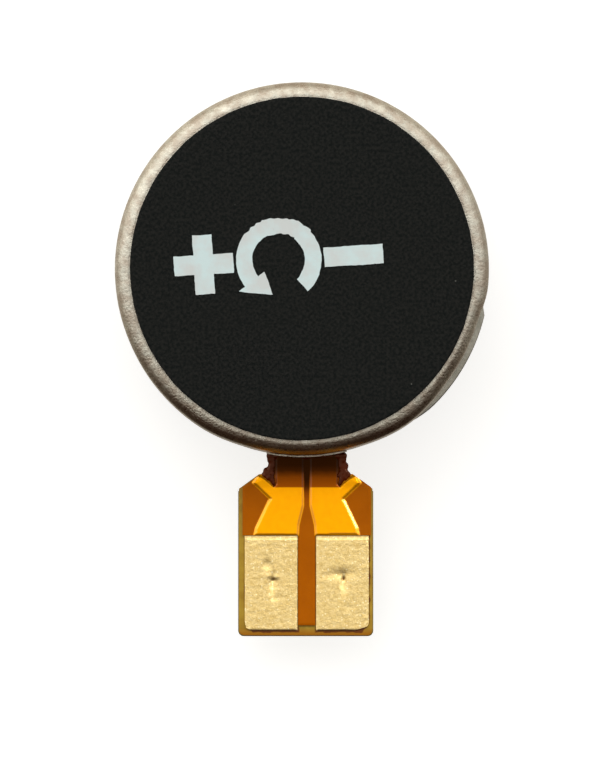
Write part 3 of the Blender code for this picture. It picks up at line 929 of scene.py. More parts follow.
@dataclass(frozen=True)
class CoverlayFinish:
    """Glossy amber film: bright over copper, brown beside it, and dark near the can with painted
    shade for the can's shadow and its dark reflection.

    Each shade stop is a place along Y with the painted shade's share there. The strip is the bare
    film between the conductors: its middle, the half width where the painted shade is full, and the
    one where it ends.
    """

    name: str = "amber_coverlay"
    over_copper: Colour = (1.0, 0.41, 0.001)
    over_copper_patch: Colour = (0.96, 0.37, 0.001)
    bare: Colour = (0.355, 0.086, 0.0004)
    bare_patch: Colour = (0.31, 0.073, 0.0004)
    # painted shade colours near the can: brown, then near black
    shaded_brown: Colour = (0.36, 0.080, 0.0008)
    resin: Colour = (0.022, 0.0025, 0.0004)
    shade_stops: tuple[Point, ...] = (
        (-5.80, 0.0), (-5.775, 0.50), (-5.52, 0.66), (-5.34, 0.93), (-5.2, 0.98))
    brown: float = 0.5                # share at which the film has turned brown
    ragged: float = 0.10              # how far the painted shade's border wanders
    ragged_from: Point = (-5.75, -5.6)
    strip: Size = (0.13, 0.10, 0.26)
    strip_reach: float = 0.42         # how much further the painted shade runs along the strip
    neck_half: float = 0.90           # the painted shade keeps inside the neck
    neck_fade: float = 0.03
    metal_share: float = 0.75
    coat_range: Point = (0.03, 1.0)   # gloss on the flats and on the slopes beside the copper
    depth: float = 0.0012
    tint: Colour = (1.0, 0.55, 0.10)

    def material(self) -> Material:
        """Draw the finish.

        Returns:
            The material.
        """
        coat = Coat(self.name)
        metal = coat.effect(
            Effect.MOTTLE, Main=self.over_copper, Other=self.over_copper_patch, Scale=5.0)
        film = coat.effect(Effect.MOTTLE, Main=self.bare, Other=self.bare_patch, Scale=2.0)
        grain = coat.effect(Effect.GRAIN, Scale=22.0, Roughness=0.34, Spread=0.12)
        copper = coat.add("ShaderNodeAttribute", {"attribute_name": COPPER_NOTE}).outputs["Fac"]
        slope = coat.add("ShaderNodeAttribute", {"attribute_name": SLOPE_NOTE}).outputs["Fac"]
        clean = coat.blend(copper, film.outputs["Color"], metal.outputs["Color"])
        # painted shade near the can: brown, then near black, with less metal and gloss where
        # darkest
        can_shade = self.can_shade(coat, copper)
        normal = coat.bump(grain.outputs["Height"], self.depth)
        brown = coat.blend(coat.remap(can_shade, (0.0, self.brown), (0.0, 1.0)), clean, self.shaded_brown)
        dark = coat.remap(can_shade, (self.brown, 1.0), (0.0, 1.0))
        coat.set(Base_Color=coat.blend(dark, brown, self.resin))
        shine = coat.maths("SUBTRACT", 1.0, coat.maths("MULTIPLY", dark, 0.9))
        bare_metal = coat.maths("MULTIPLY", copper, self.metal_share)
        coat.set(Metallic=coat.maths("MULTIPLY", bare_metal, shine))
        coated = coat.maths("MULTIPLY", coat.remap(slope, (0.0, 1.0), self.coat_range), shine)
        coat.set(Roughness=grain.outputs["Roughness"], Coat_Weight=coated)
        coat.set(Normal=normal, Coat_Roughness=0.16, Specular_IOR_Level=0.12)
        coat.set(Specular_Tint=self.tint)
        return coat.material

    def can_shade(self, coat: Coat, copper: Socket) -> Socket:
        """Share of painted shade on the film, most near the can and along the strip.

        Args:
            coat: the material being drawn.
            copper: 1 over the conductors and 0 beside them.

        Returns:
            The share, from 0 to 1.
        """
        axes = coat.axes()
        middle, full, end = self.strip
        away = coat.maths("ABSOLUTE", coat.maths("SUBTRACT", axes["X"], middle))
        centre = coat.remap(away, (end, full), (0.0, self.strip_reach))
        bare = coat.maths("MULTIPLY", coat.maths("SUBTRACT", 1.0, copper), centre)
        cloud = coat.maths("SUBTRACT", coat.cloud(5.0), 0.5)
        near = coat.remap(axes["Y"], self.ragged_from, (0.0, 1.0))
        wander = coat.maths("MULTIPLY", coat.maths("MULTIPLY", cloud, self.ragged), near)
        along = coat.maths("ADD", axes["Y"], wander)
        neck_side = (self.neck_half, self.neck_half + self.neck_fade)
        outside = coat.remap(away, neck_side, (0.0, -2.0))
        along = coat.maths("ADD", coat.maths("ADD", along, bare), outside)
        first, last = self.shade_stops[0][0], self.shade_stops[-1][0]
        share = coat.remap(along, (first, last), (0.0, 1.0))
        return coat.ramp(share, [((place - first) / (last - first), (level, level, level))
                                 for place, level in self.shade_stops])


@dataclass(frozen=True)
class GoldFinish:
    """Matte gold plating over etched copper, with fine bright grain."""

    name: str = "matte_gold"
    colour: Colour = (0.65, 0.455, 0.165)
    pale: Colour = (0.79, 0.61, 0.29)
    spark: Colour = (1.0, 0.90, 0.60)
    depth: float = 0.010

    def material(self) -> Material:
        """Draw the finish.

        Returns:
            The material.
        """
        coat = Coat(self.name)
        tone = coat.effect(
            Effect.MOTTLE, Main=self.colour, Other=self.pale, Scale=13.0, Contrast=0.16)
        grain = coat.effect(Effect.GRAIN, Scale=22.0, Roughness=0.36, Spread=0.25)
        sparks = coat.effect(Effect.SPECK, Scale=14.0, Size=0.34)
        some = coat.remap(sparks.outputs["Shade"], (0.72, 0.80), (0.0, 0.7))
        spark = coat.maths("MULTIPLY", sparks.outputs["Mask"], some)
        normal = coat.bump(grain.outputs["Height"], self.depth)
        coat.set(Base_Color=coat.blend(spark, tone.outputs["Color"], self.spark), Metallic=1.0)
        coat.set(Roughness=grain.outputs["Roughness"], Normal=normal)
        return coat.material


@dataclass(frozen=True)
class FilmFinish:
    """Olive-amber base film, with painted shade in ragged patches round the gold lands, where
    their edges cast shadow.

    The land is one gold contact: its distance from the film's middle, its half width and its half
    length. Its outer lower corner is cut.
    """

    name: str = "amber_film"
    colour: Colour = (0.37, 0.235, 0.024)
    patch: Colour = (0.25, 0.135, 0.010)
    end: Colour = (0.30, 0.115, 0.005)
    # painted shade colour round the gold lands
    land_shade: Colour = (0.105, 0.020, 0.003)
    middle: Point = (0.142, -8.345)
    land: Size = (0.957, 0.698, 1.285)
    cut: float = 0.23
    shade_reach: float = 0.16               # how far the painted shade reaches out in its patches
    least_shade_reach: float = 0.004
    end_shade_reach: Size = (1.1, 1.25, 0.03)  # the painted shade reaches this much further between these two distances
    end_run: Point = (1.2, 1.36)      # the film turns brown between these distances
    shade_fade: Point = (-0.01, 0.02)
    land_shade_share: float = 0.9
    depth: float = 0.001

    def material(self) -> Material:
        """Draw the finish.

        Returns:
            The material.
        """
        coat = Coat(self.name)
        tone = coat.effect(Effect.MOTTLE, Main=self.colour, Other=self.patch, Scale=2.5)
        grain = coat.effect(Effect.GRAIN, Scale=14.0, Roughness=0.34, Spread=0.12)
        axes = coat.axes()
        across = coat.maths("ABSOLUTE", coat.maths("SUBTRACT", axes["X"], self.middle[0]))
        lower = coat.maths("SUBTRACT", self.middle[1], axes["Y"])
        gap = self.land_gap(coat, across, axes["Y"], lower)
        start, end, extra = self.end_shade_reach
        below = coat.remap(lower, (start, end), (0.0, extra))
        cloud = coat.maths("SUBTRACT", coat.cloud(3.5), 0.40)
        edge = coat.maths("MAXIMUM", coat.maths("MULTIPLY", cloud, self.shade_reach), self.least_shade_reach)
        # painted shade round the lands, reaching further below them
        shade_margin = coat.maths("SUBTRACT", coat.maths("ADD", edge, below), gap)
        land_shade_mask = coat.remap(shade_margin, self.shade_fade, (0.0, self.land_shade_share))
        ending = coat.remap(lower, self.end_run, (0.0, 1.0))
        olive = coat.blend(ending, tone.outputs["Color"], self.end)
        normal = coat.bump(grain.outputs["Height"], self.depth)
        coat.set(Base_Color=coat.blend(land_shade_mask, olive, self.land_shade), Normal=normal)
        coat.set(Roughness=grain.outputs["Roughness"], Specular_IOR_Level=0.15)
        return coat.material

    def land_gap(
            self, coat: Coat, across: Socket, place: Socket,
            lower: Socket) -> Socket:
        """Distance from the nearest gold land, negative under it.

        Args:
            coat: the material being drawn.
            across: distance from the film's middle along X.
            place: Y.
            lower: distance below the film's middle.

        Returns:
            The distance.
        """
        reach, half_width, half_length = self.land
        side = coat.maths("ABSOLUTE", coat.maths("SUBTRACT", across, reach))
        along = coat.maths("ABSOLUTE", coat.maths("SUBTRACT", place, self.middle[1]))
        gap = coat.maths("MAXIMUM", coat.maths("SUBTRACT", side, half_width),
                         coat.maths("SUBTRACT", along, half_length))
        corner = coat.maths("ADD", coat.maths("SUBTRACT", across, reach), lower)
        beyond = coat.maths("SUBTRACT", corner, half_width + half_length - self.cut)
        return coat.maths("MAXIMUM", gap, coat.maths("MULTIPLY", beyond, math.sqrt(0.5)))


@dataclass(frozen=True)
class WindingFinish:
    """Enamelled copper wire in rings round each coil's middle and in layers up its sides; painted
    shade in the grooves.
    """

    name: str = "coil_enamel"
    wire: Colour = (0.50, 0.15, 0.045)
    patch: Colour = (0.38, 0.10, 0.03)
    # painted shade colour in the grooves between turns
    gap: Colour = (0.07, 0.018, 0.008)
    pitch: float = 0.07
    depth: float = 0.02
    coils: tuple[str, ...] = ("coil_left", "coil_right")

    def material(self) -> Material:
        """Draw the finish.

        Returns:
            The material.
        """
        coat = Coat(self.name)
        axes = coat.axes()
        reach: Value = 100.0
        for coil in self.coils:
            middle = Span.of(coil).middle
            across = coat.maths("SUBTRACT", axes["X"], middle.x)
            along = coat.maths("SUBTRACT", axes["Y"], middle.y)
            square = coat.maths("ADD", coat.maths("POWER", coat.maths("ABSOLUTE", across), 2.0),
                                coat.maths("POWER", coat.maths("ABSOLUTE", along), 2.0))
            reach = coat.maths("MINIMUM", reach, coat.maths("SQRT", square))
        turn = math.tau / self.pitch
        rings = coat.maths("SINE", coat.maths("MULTIPLY", reach, turn))
        layers = coat.maths("SINE", coat.maths("MULTIPLY", axes["Z"], turn))
        height = coat.remap(coat.maths("ADD", rings, layers), (-2.0, 2.0), (0.0, 1.0))
        tone = coat.effect(Effect.MOTTLE, Main=self.wire, Other=self.patch, Scale=2.4)
        grain = coat.effect(Effect.GRAIN, Scale=26.0, Roughness=0.26, Spread=0.12)
        # painted shade where the winding's relief is low
        groove_shade = coat.remap(height, (0.35, 0.05), (0.0, 1.0))
        normal = coat.bump(grain.outputs["Height"], 0.001, coat.bump(height, self.depth))
        coat.set(Base_Color=coat.blend(groove_shade, tone.outputs["Color"], self.gap), Normal=normal)
        coat.set(Roughness=grain.outputs["Roughness"], Coat_Weight=0.6, Coat_Roughness=0.08)
        return coat.material


class Finishes:
    """Every finish of the motor, drawn on first use."""

    MADE_PREFIX = "finish_"
    BOOK = (
        CanFinish("satin_nickel", (0.69, 0.65, 0.57), (0.52, 0.50, 0.44), 0.29, 0.24, 4.5, 15.0,
                  0.018, 0.7, 5.0),
        MetalFinish("weld_steel", (0.60, 0.58, 0.53), (0.42, 0.40, 0.37), 0.34, 0.2, 6.0, 18.0,
                    0.008, 0.2),
        MetalFinish("zinc_steel", (0.44, 0.42, 0.37), (0.32, 0.31, 0.27), 0.36, 0.18, 3.0, 16.0,
                    0.012, 0.8, 7.0),
        MetalFinish("shaft_steel", (0.62, 0.62, 0.62), (0.55, 0.55, 0.56), 0.16, 0.08, 1.5, 40.0,
                    0.0006, 0.2, 20.0),
        MetalFinish("magnet_nickel", (0.46, 0.46, 0.46), (0.38, 0.38, 0.39), 0.28, 0.15, 1.4, 18.0,
                    0.002, 0.4),
        MetalFinish("rolled_copper", (0.80, 0.38, 0.22), (0.68, 0.28, 0.15), 0.32, 0.15, 2.0, 26.0,
                    0.001, 0.5),
        MetalFinish("phosphor_bronze", (0.78, 0.50, 0.28), (0.66, 0.40, 0.21), 0.26, 0.12, 2.5,
                    30.0, 0.0008, 0.7),
        MetalFinish("tin_solder", (0.72, 0.72, 0.73), (0.60, 0.60, 0.62), 0.20, 0.18, 3.0, 9.0,
                    0.004, 0.1),
        MetalFinish("sintered_bronze", (0.48, 0.33, 0.18), (0.34, 0.22, 0.12), 0.52, 0.25, 3.5,
                    22.0, 0.008, 0.1),
        MetalFinish("segment_gold", (0.94, 0.70, 0.32), (0.86, 0.60, 0.26), 0.22, 0.15, 2.0, 30.0,
                    0.0008, 0.9, 14.0),
        MetalFinish("tungsten", (0.26, 0.26, 0.27), (0.19, 0.19, 0.20), 0.46, 0.2, 2.2, 26.0, 0.004,
                    0.2),
        ResinFinish("clear_adhesive", (0.36, 0.35, 0.31), (0.30, 0.29, 0.26), 0.45),
        ResinFinish("grey_bond", (0.20, 0.20, 0.21), (0.15, 0.15, 0.16), 0.6, grain=8.0,
                    depth=0.005),
        ResinFinish("olive_stiffener", (0.16, 0.12, 0.018), (0.11, 0.08, 0.011), 0.42, threads=5.0,
                    depth=0.002, gloss=0.2),
        ResinFinish("amber_resin", (0.105, 0.012, 0.0010), (0.040, 0.005, 0.0005), 0.10, grain=6.0,
                    depth=0.006, gloss=0.30, tint=(1.0, 0.52, 0.34)),
        ResinFinish("washer_film", (0.05, 0.05, 0.05), (0.035, 0.035, 0.035), 0.5),
        ResinFinish("green_board", (0.02, 0.17, 0.07), (0.015, 0.12, 0.05), 0.42, threads=6.0,
                    coat_weight=0.3),
        ResinFinish("rotor_plastic", (0.03, 0.05, 0.10), (0.02, 0.035, 0.07), 0.5, grain=18.0,
                    depth=0.003),
        WindingFinish(), FoamFinish(), PrintFinish(), CoverlayFinish(), FilmFinish(), GoldFinish())

    @classmethod
    def get(cls, name: str) -> Material:
        """Find a material, or draw it on first use.

        Args:
            name: its finish.

        Returns:
            The material.
        """
        known = bpy.data.materials.get(cls.MADE_PREFIX + name)
        if known:
            return known
        made = next(finish for finish in cls.BOOK if finish.name == name).material()
        made.name = cls.MADE_PREFIX + name
        return made


# ---- the can ----------------------------------------------------------------

@dataclass
class CanBody:
    """The drawn case and the base plate under it."""

    facets: int = 160
    wall: float = 0.2
    corner: float = 0.38
    corner_steps: int = 9
    hole_steps: int = 2               # rings of faces between the corner and the shaft's hole
    case_inset: float = 0.01          # case wall inside the base plate's edge
    dent_depth: float = 0.10
    dent_turns: Drop = (-56.0, -34.0, -18.0, -5.0)
    press_rise: Point = (4.56, 4.95)  # a press starts and is full at these distances
    ear_turns: Drop = (-60.0, -45.0, -13.0, -10.5)
    plate_ear: float = 0.035
    plate_short: float = 0.06
    plate_rise: Point = (4.8, 4.95)
    hole_radius: float = 0.42
    broken_edge: float = 0.012
    notch_half_width: float = 1.08
    notch_top: float = 0.52
    notch_depth: float = 1.6
    notch_round: float = 0.06
    lip_height: float = 0.08
    lip_reach: float = -0.015         # beyond the base plate's edge
    lip_steps: int = 20
    tail_press: float = 0.05
    tail_turns: Drop = (-124.0, -106.0, -74.0, -56.0)
    plate_edge: float = 0.03
    bore_gap: float = 0.02
    hub_wall: float = 0.32
    hub_floor: float = 0.1
    dimple_count: int = 4
    dimple_reach: float = 4.53
    dimple_turn: float = math.radians(2.5)
    dimple_radius: float = 0.15
    dimple_depth: float = 0.1
    dimple_round: float = 0.03
    weld_count: int = 6
    weld_size: Size = (0.13, 0.03, 0.045)
    weld_inset: float = 0.055
    weld_lift: float = 0.01
    weld_waver: float = 0.10
    case: Span = field(init=False)
    plate: Span = field(init=False)
    middle_x: float = field(init=False)

    def build(self) -> None:
        """Make the case, the plate and the welds."""
        self.case = Span.of("case")
        self.plate = Span.of("base_plate")
        self.middle_x = Span.of("exit_sealant").middle.x
        self.make_case()
        self.make_plate()
        self.make_welds()

    def make_case(self) -> None:
        """Cup with a rounded top edge, a hole for the shaft, and a notch with a lip."""
        low, high = self.case.low.z, self.case.high.z
        radius = self.case.radius - self.case_inset
        deselect()
        bpy.ops.mesh.primitive_cylinder_add(
            vertices=self.facets, radius=radius, depth=high - low,
            location=(0, 0, (low + high) / 2), end_fill_type="NGON")
        case = take("drawn_case")
        settle(case)
        with editing(case, Pick.EDGES):
            pick_edges(case, lambda a, b: min(a.z, b.z) > high - NEAR)
            bpy.ops.mesh.bevel(
                offset=self.corner, offset_type="OFFSET", segments=self.corner_steps,
                affect="EDGES")
        with editing(case):
            pick_faces(case, lambda middle, normal: normal.z < -LEVEL)
            bpy.ops.mesh.delete(type="FACE")
        with editing(case):
            pick_top(case)
            for _ in range(self.hole_steps):
                bpy.ops.mesh.inset(
                    thickness=(radius - self.corner - self.hole_radius) / self.hole_steps)
            bpy.ops.mesh.delete(type="FACE")
        self.press_side(case)
        add_modifier(case, "SOLIDIFY", thickness=self.wall, offset=-1.0, use_even_offset=True)
        self.add_lip(case, radius)
        self.cut_notch(case, radius)
        soften(case, self.broken_edge, 2, 55)
        finish_piece(case, "satin_nickel", "case", body=Body.CAN)

    @staticmethod
    def side_window(points: np.ndarray, turns: Drop) -> np.ndarray:
        """How far each point lies into a part of the edge.

        Args:
            points: one row of x, y, z for each point.
            turns: angles in degrees where the part starts, is full, is still full, and ends.

        Returns:
            A share from 0 to 1 for each point.
        """
        turn = np.degrees(np.arctan2(points[:, 1], points[:, 0]))
        start, full, last, end = turns
        return smooth_step(start, full, turn) * (1 - smooth_step(last, end, turn))

    def press_side(self, case: Piece) -> None:
        """Flatten the case a little, where the plate's edge shows and above the notch.

        Args:
            case: the case.
        """
        points = read_points(case)
        reach = np.hypot(points[:, 0], points[:, 1])
        move = self.dent_depth * self.side_window(points, self.dent_turns)
        move += self.tail_press * self.side_window(points, self.tail_turns)
        move *= smooth_step(*self.press_rise, reach)
        points[:, :2] *= (1 - move / np.maximum(reach, NO_REACH))[:, None]
        write_points(case, points)

    def add_lip(self, case: Piece, radius: float) -> None:
        """Join the lip that stands out above the notch.

        Args:
            case: the case.
            radius: its outside radius.
        """
        start = math.asin((self.middle_x - self.notch_half_width) / radius)
        end = math.asin((self.middle_x + self.notch_half_width) / radius)
        deselect()
        bpy.ops.mesh.primitive_plane_add(size=1.0)
        lip = take("exit_lip")
        inner = radius - self.wall / 2
        outer = self.case.radius + self.lip_reach
        low, high = self.notch_top, self.notch_top + self.lip_height
        section = ((inner, low), (outer, low), (inner, high), (outer, high))
        turn = -math.pi / 2 + end
        for corner, (reach, height) in zip(lip.data.vertices, section):
            corner.co = (*polar(reach, turn), height)
        with editing(lip, whole=True):
            bpy.ops.mesh.spin(
                steps=self.lip_steps, angle=end - start, center=(0, 0, 0), axis=(0, 0, 1))
        face_out(lip)
        soften(lip, self.broken_edge, 3, 50)
        carve(case, lip, Carving.JOIN)

    def cut_notch(self, case: Piece, radius: float) -> None:
        """Cut the notch that the circuit leaves by.

        Args:
            case: the case.
            radius: its outside radius.
        """
        low = self.case.low.z - self.wall
        deselect()
        bpy.ops.mesh.primitive_cube_add(
            size=1.0, location=(self.middle_x, -radius, (low + self.notch_top) / 2),
            scale=(2 * self.notch_half_width, self.notch_depth, self.notch_top - low))
        notch = take("exit_notch")
        settle(notch)
        with editing(notch, Pick.EDGES):
            pick_edges(notch, lambda a, b: (
                min(a.z, b.z) > self.notch_top - NEAR and abs(a.x - b.x) < NEAR))
            bpy.ops.mesh.bevel(offset=self.notch_round, segments=4, affect="EDGES")
        carve(case, notch, Carving.CUT)

    def make_plate(self) -> None:
        """Flat disc with a blind hub and half-sheared dimples."""
        radius, thick = self.plate.radius, Span.of("stiffener").high.z
        deselect()
        bpy.ops.mesh.primitive_cylinder_add(
            vertices=self.facets, radius=radius, depth=thick, location=(0, 0, thick / 2),
            end_fill_type="NGON")
        plate = take("pressed_base")
        settle(plate)
        with editing(plate, Pick.EDGES):
            pick_level(plate)
            bpy.ops.mesh.bevel(offset=self.plate_edge, segments=4, affect="EDGES")
        bore = Span.of("shaft").radius + self.bore_gap
        with editing(plate):
            pick_top(plate)
            bpy.ops.mesh.inset(thickness=radius - self.plate_edge - bore - self.hub_wall)
            bpy.ops.mesh.extrude_region_move(
                TRANSFORM_OT_translate=slide((0, 0, self.plate.high.z - thick)))
            bpy.ops.mesh.inset(thickness=self.hub_wall)
            bpy.ops.mesh.extrude_region_move(
                TRANSFORM_OT_translate=slide((0, 0, self.hub_floor - self.plate.high.z)))
        points = read_points(plate)
        reach = np.hypot(points[:, 0], points[:, 1])
        window = self.side_window(points, self.ear_turns)
        grow = (self.plate_ear + self.plate_short) * window - self.plate_short
        grow *= smooth_step(*self.plate_rise, reach)
        points[:, :2] *= (1 + grow / np.maximum(reach, NO_REACH))[:, None]
        write_points(plate, points)
        for number in range(self.dimple_count):
            turn = math.tau * (number + 0.5) / self.dimple_count + self.dimple_turn
            self.press_dimple(plate, polar(self.dimple_reach, turn), thick)
        finish_piece(plate, "zinc_steel", "base_plate", body=Body.CAN)

    def press_dimple(self, plate: Piece, place: Point, thick: float) -> None:
        """Press one dimple: a pit below and a boss above.

        Args:
            plate: the base plate.
            place: the dimple's middle.
            thick: the plate's thickness.
        """
        for height, carving in ((0.0, Carving.CUT), (thick, Carving.JOIN)):
            deselect()
            bpy.ops.mesh.primitive_cylinder_add(
                vertices=28, radius=self.dimple_radius, depth=2 * self.dimple_depth,
                location=(*place, height))
            tool = take("dimple")
            settle(tool)
            with editing(tool, Pick.EDGES):
                pick_level(tool)
                bpy.ops.mesh.bevel(offset=self.dimple_round, segments=3, affect="EDGES")
            carve(plate, tool, carving)

    def make_welds(self) -> None:
        """Small laser tacks that join the case to the plate."""
        thick = Span.of("stiffener").high.z
        for number in range(self.weld_count):
            turn = math.tau * number / self.weld_count
            deselect()
            bpy.ops.mesh.primitive_uv_sphere_add(
                segments=24, ring_count=14, radius=1.0, scale=self.weld_size)
            tack = take(f"weld_tack_{number + 1}")
            settle(tack)
            points = read_points(tack)
            for point in points:
                waver = noise.noise(Vector(point) * 14 + Vector((number, 0, 0)))
                point *= 1 + self.weld_waver * waver
            write_points(tack, points)
            tack.rotation_euler = (0, 0, turn + math.pi / 2)
            tack.location = (*polar(self.plate.radius - self.weld_inset, turn),
                             thick + self.weld_lift)
            finish_piece(tack, "weld_steel", body=Body.CAN, slot="zinc_steel")


# ---- foam pad and its print -------------------------------------------------

@dataclass
class FoamPad:
    """The foam disc, its adhesive and the print on it."""

    facets: int = 240
    rings: int = 26
    round_edge: float = 0.05
    ragged: float = 0.014
    ragged_rim: float = 0.08          # width of the rim that is uneven
    ripple: float = 0.004
    print_centre: Point = (-0.62, 0.22)
    print_spread: Size = (-2.0, 0.0, 2.0)
    print_turn: float = math.radians(3.5)
    print_thickness: float = 0.008
    stroke: float = 0.52
    arm: float = 0.79
    arrow_radius: float = 0.92
    arrow_turns: Size = (math.radians(-50), math.radians(215), math.radians(257))
    arrow_half: float = 0.2184        # half the ring's width
    arrow_steps: int = 30
    edge_step: float = 0.035
    fray: float = 0.012
    rubbed_fray: float = 0.062        # at the top of the arrow
    rubbed_above: float = 0.55
    span: Span = field(init=False)

    def build(self) -> None:
        """Make the pad and its marks."""
        self.span = Span.of("foam_pad")
        self.make_disc()
        self.make_marks()

    def make_disc(self) -> None:
        """Die-cut disc with a slightly soft, uneven edge."""
        low, high, radius = self.span.low.z, self.span.high.z, self.span.radius
        deselect()
        bpy.ops.mesh.primitive_cylinder_add(
            vertices=self.facets, radius=radius, depth=high - low,
            location=(0, 0, (low + high) / 2), end_fill_type="NGON")
        pad = take("foam_disc")
        settle(pad)
        with editing(pad, Pick.EDGES):
            pick_edges(pad, lambda a, b: min(a.z, b.z) > high - NEAR)
            bpy.ops.mesh.bevel(offset=self.round_edge, segments=4, affect="EDGES")
        with editing(pad):
            pick_top(pad)
            for _ in range(self.rings):
                bpy.ops.mesh.inset(thickness=(radius - self.round_edge) / (self.rings + 0.6))
            bpy.ops.mesh.poke()
        points = read_points(pad)
        for point in points:
            reach = math.hypot(point[0], point[1])
            if reach > radius - self.ragged_rim:
                way = Vector((point[0], point[1], point[2] * 0.5))
                fray = noise.noise(way * 3.1) * 0.6 + noise.noise(way * 11.0) * 0.4
                point[:2] *= 1 + self.ragged * fray / reach
            if point[2] > high - NEAR:
                point[2] += self.ripple * noise.noise(Vector(point) * 2.3) - self.ripple
        write_points(pad, points)
        finish_piece(pad, "black_foam", "foam_pad", body=Body.CAN, angle=50)

    def make_marks(self) -> None:
        """Three plain printed marks: a plus, a turning arrow and a minus."""
        marks = {"plus": self.plus(), "turn_arrow": self.arrow(), "minus": self.minus()}
        cos, sin = math.cos(self.print_turn), math.sin(self.print_turn)
        top = self.span.high.z
        for number, (name, outline) in enumerate(marks.items()):
            along = self.print_spread[number]
            middle = (self.print_centre[0] + along * cos, self.print_centre[1] + along * sin)
            placed = [(middle[0] + x * cos - y * sin, middle[1] + x * sin + y * cos)
                      for x, y in self.wear(outline, number)]
            mark = outline_slab(
                f"print_{name}", placed, top - 2 * self.ripple, top + self.print_thickness)
            finish_piece(mark, "white_print", body=Body.CAN, slot="black_foam")

    def plus(self) -> list[Point]:
        """Outline of the plus.

        Returns:
            Its corners.
        """
        half, arm = self.stroke / 2, self.arm
        return [(-half, -arm), (half, -arm), (half, -half), (arm, -half), (arm, half),
                (half, half), (half, arm), (-half, arm), (-half, half), (-arm, half),
                (-arm, -half), (-half, -half)]

    def minus(self) -> list[Point]:
        """Outline of the minus."""
        half, arm = self.stroke / 2, self.arm
        return [(-arm, -half), (arm, -half), (arm, half), (-arm, half)]

    def arrow(self) -> list[Point]:
        """Outline of the turning arrow: most of a ring, with a head at its end.

        Returns:
            The arrow's corners.
        """
        start, end, tip = self.arrow_turns
        radius, half = self.arrow_radius, self.arrow_half
        outer = arc_points(radius + half, start, end, self.arrow_steps)
        inner = arc_points(radius - half, end, start, self.arrow_steps)
        head = [polar(radius + 2.0 * half, end), polar(radius + 0.1 * half, tip),
                polar(radius - 2.0 * half, end)]
        return outer + head + inner

    def wear(self, outline: Outline, number: int) -> list[Point]:
        """Break an outline into short steps and wear its edge, most at the top.

        Args:
            outline: the mark's corners.
            number: which mark it is.

        Returns:
            The worn outline.
        """
        worn = []
        for (x, y), (end_x, end_y) in zip(outline, list(outline[1:]) + [outline[0]]):
            steps = max(1, round(math.hypot(end_x - x, end_y - y) / self.edge_step))
            for step in range(steps):
                spot = Vector((
                    x + (end_x - x) * step / steps, y + (end_y - y) * step / steps, number * 7.0))
                rubbed = number == 1 and spot.y > self.rubbed_above
                push = noise.noise_vector(spot * 8.0) * (self.rubbed_fray if rubbed else self.fray)
                push += noise.noise_vector(spot * 2.5) * self.fray
                worn.append((spot.x + push.x, spot.y + push.y))
        return worn


def arc_points(reach: float, start: float, end: float, steps: int) -> list[Point]:
    """Points along an arc round the middle, both ends included."""
    return [polar(reach, start + (end - start) * step / steps) for step in range(steps + 1)]


# ---- flexible circuit -------------------------------------------------------

@dataclass(frozen=True)
class ProbeMark:
    """One dent or ridge that a test probe left on a gold land, placed from the land's middle."""

    place: Point
    size: Point
    depth: float
    turn: float = 0.0

    def height_at(self, across: np.ndarray, along: np.ndarray) -> np.ndarray:
        """Height that the mark adds.

        Args:
            across: distance of each point from the land's middle along X.
            along: the same along Y.

        Returns:
            The height at each point.
        """
        x, y = across - self.place[0], along - self.place[1]
        cos, sin = math.cos(self.turn), math.sin(self.turn)
        u, v = (x * cos + y * sin) / self.size[0], (y * cos - x * sin) / self.size[1]
        return -self.depth * np.exp(-(u * u + v * v))


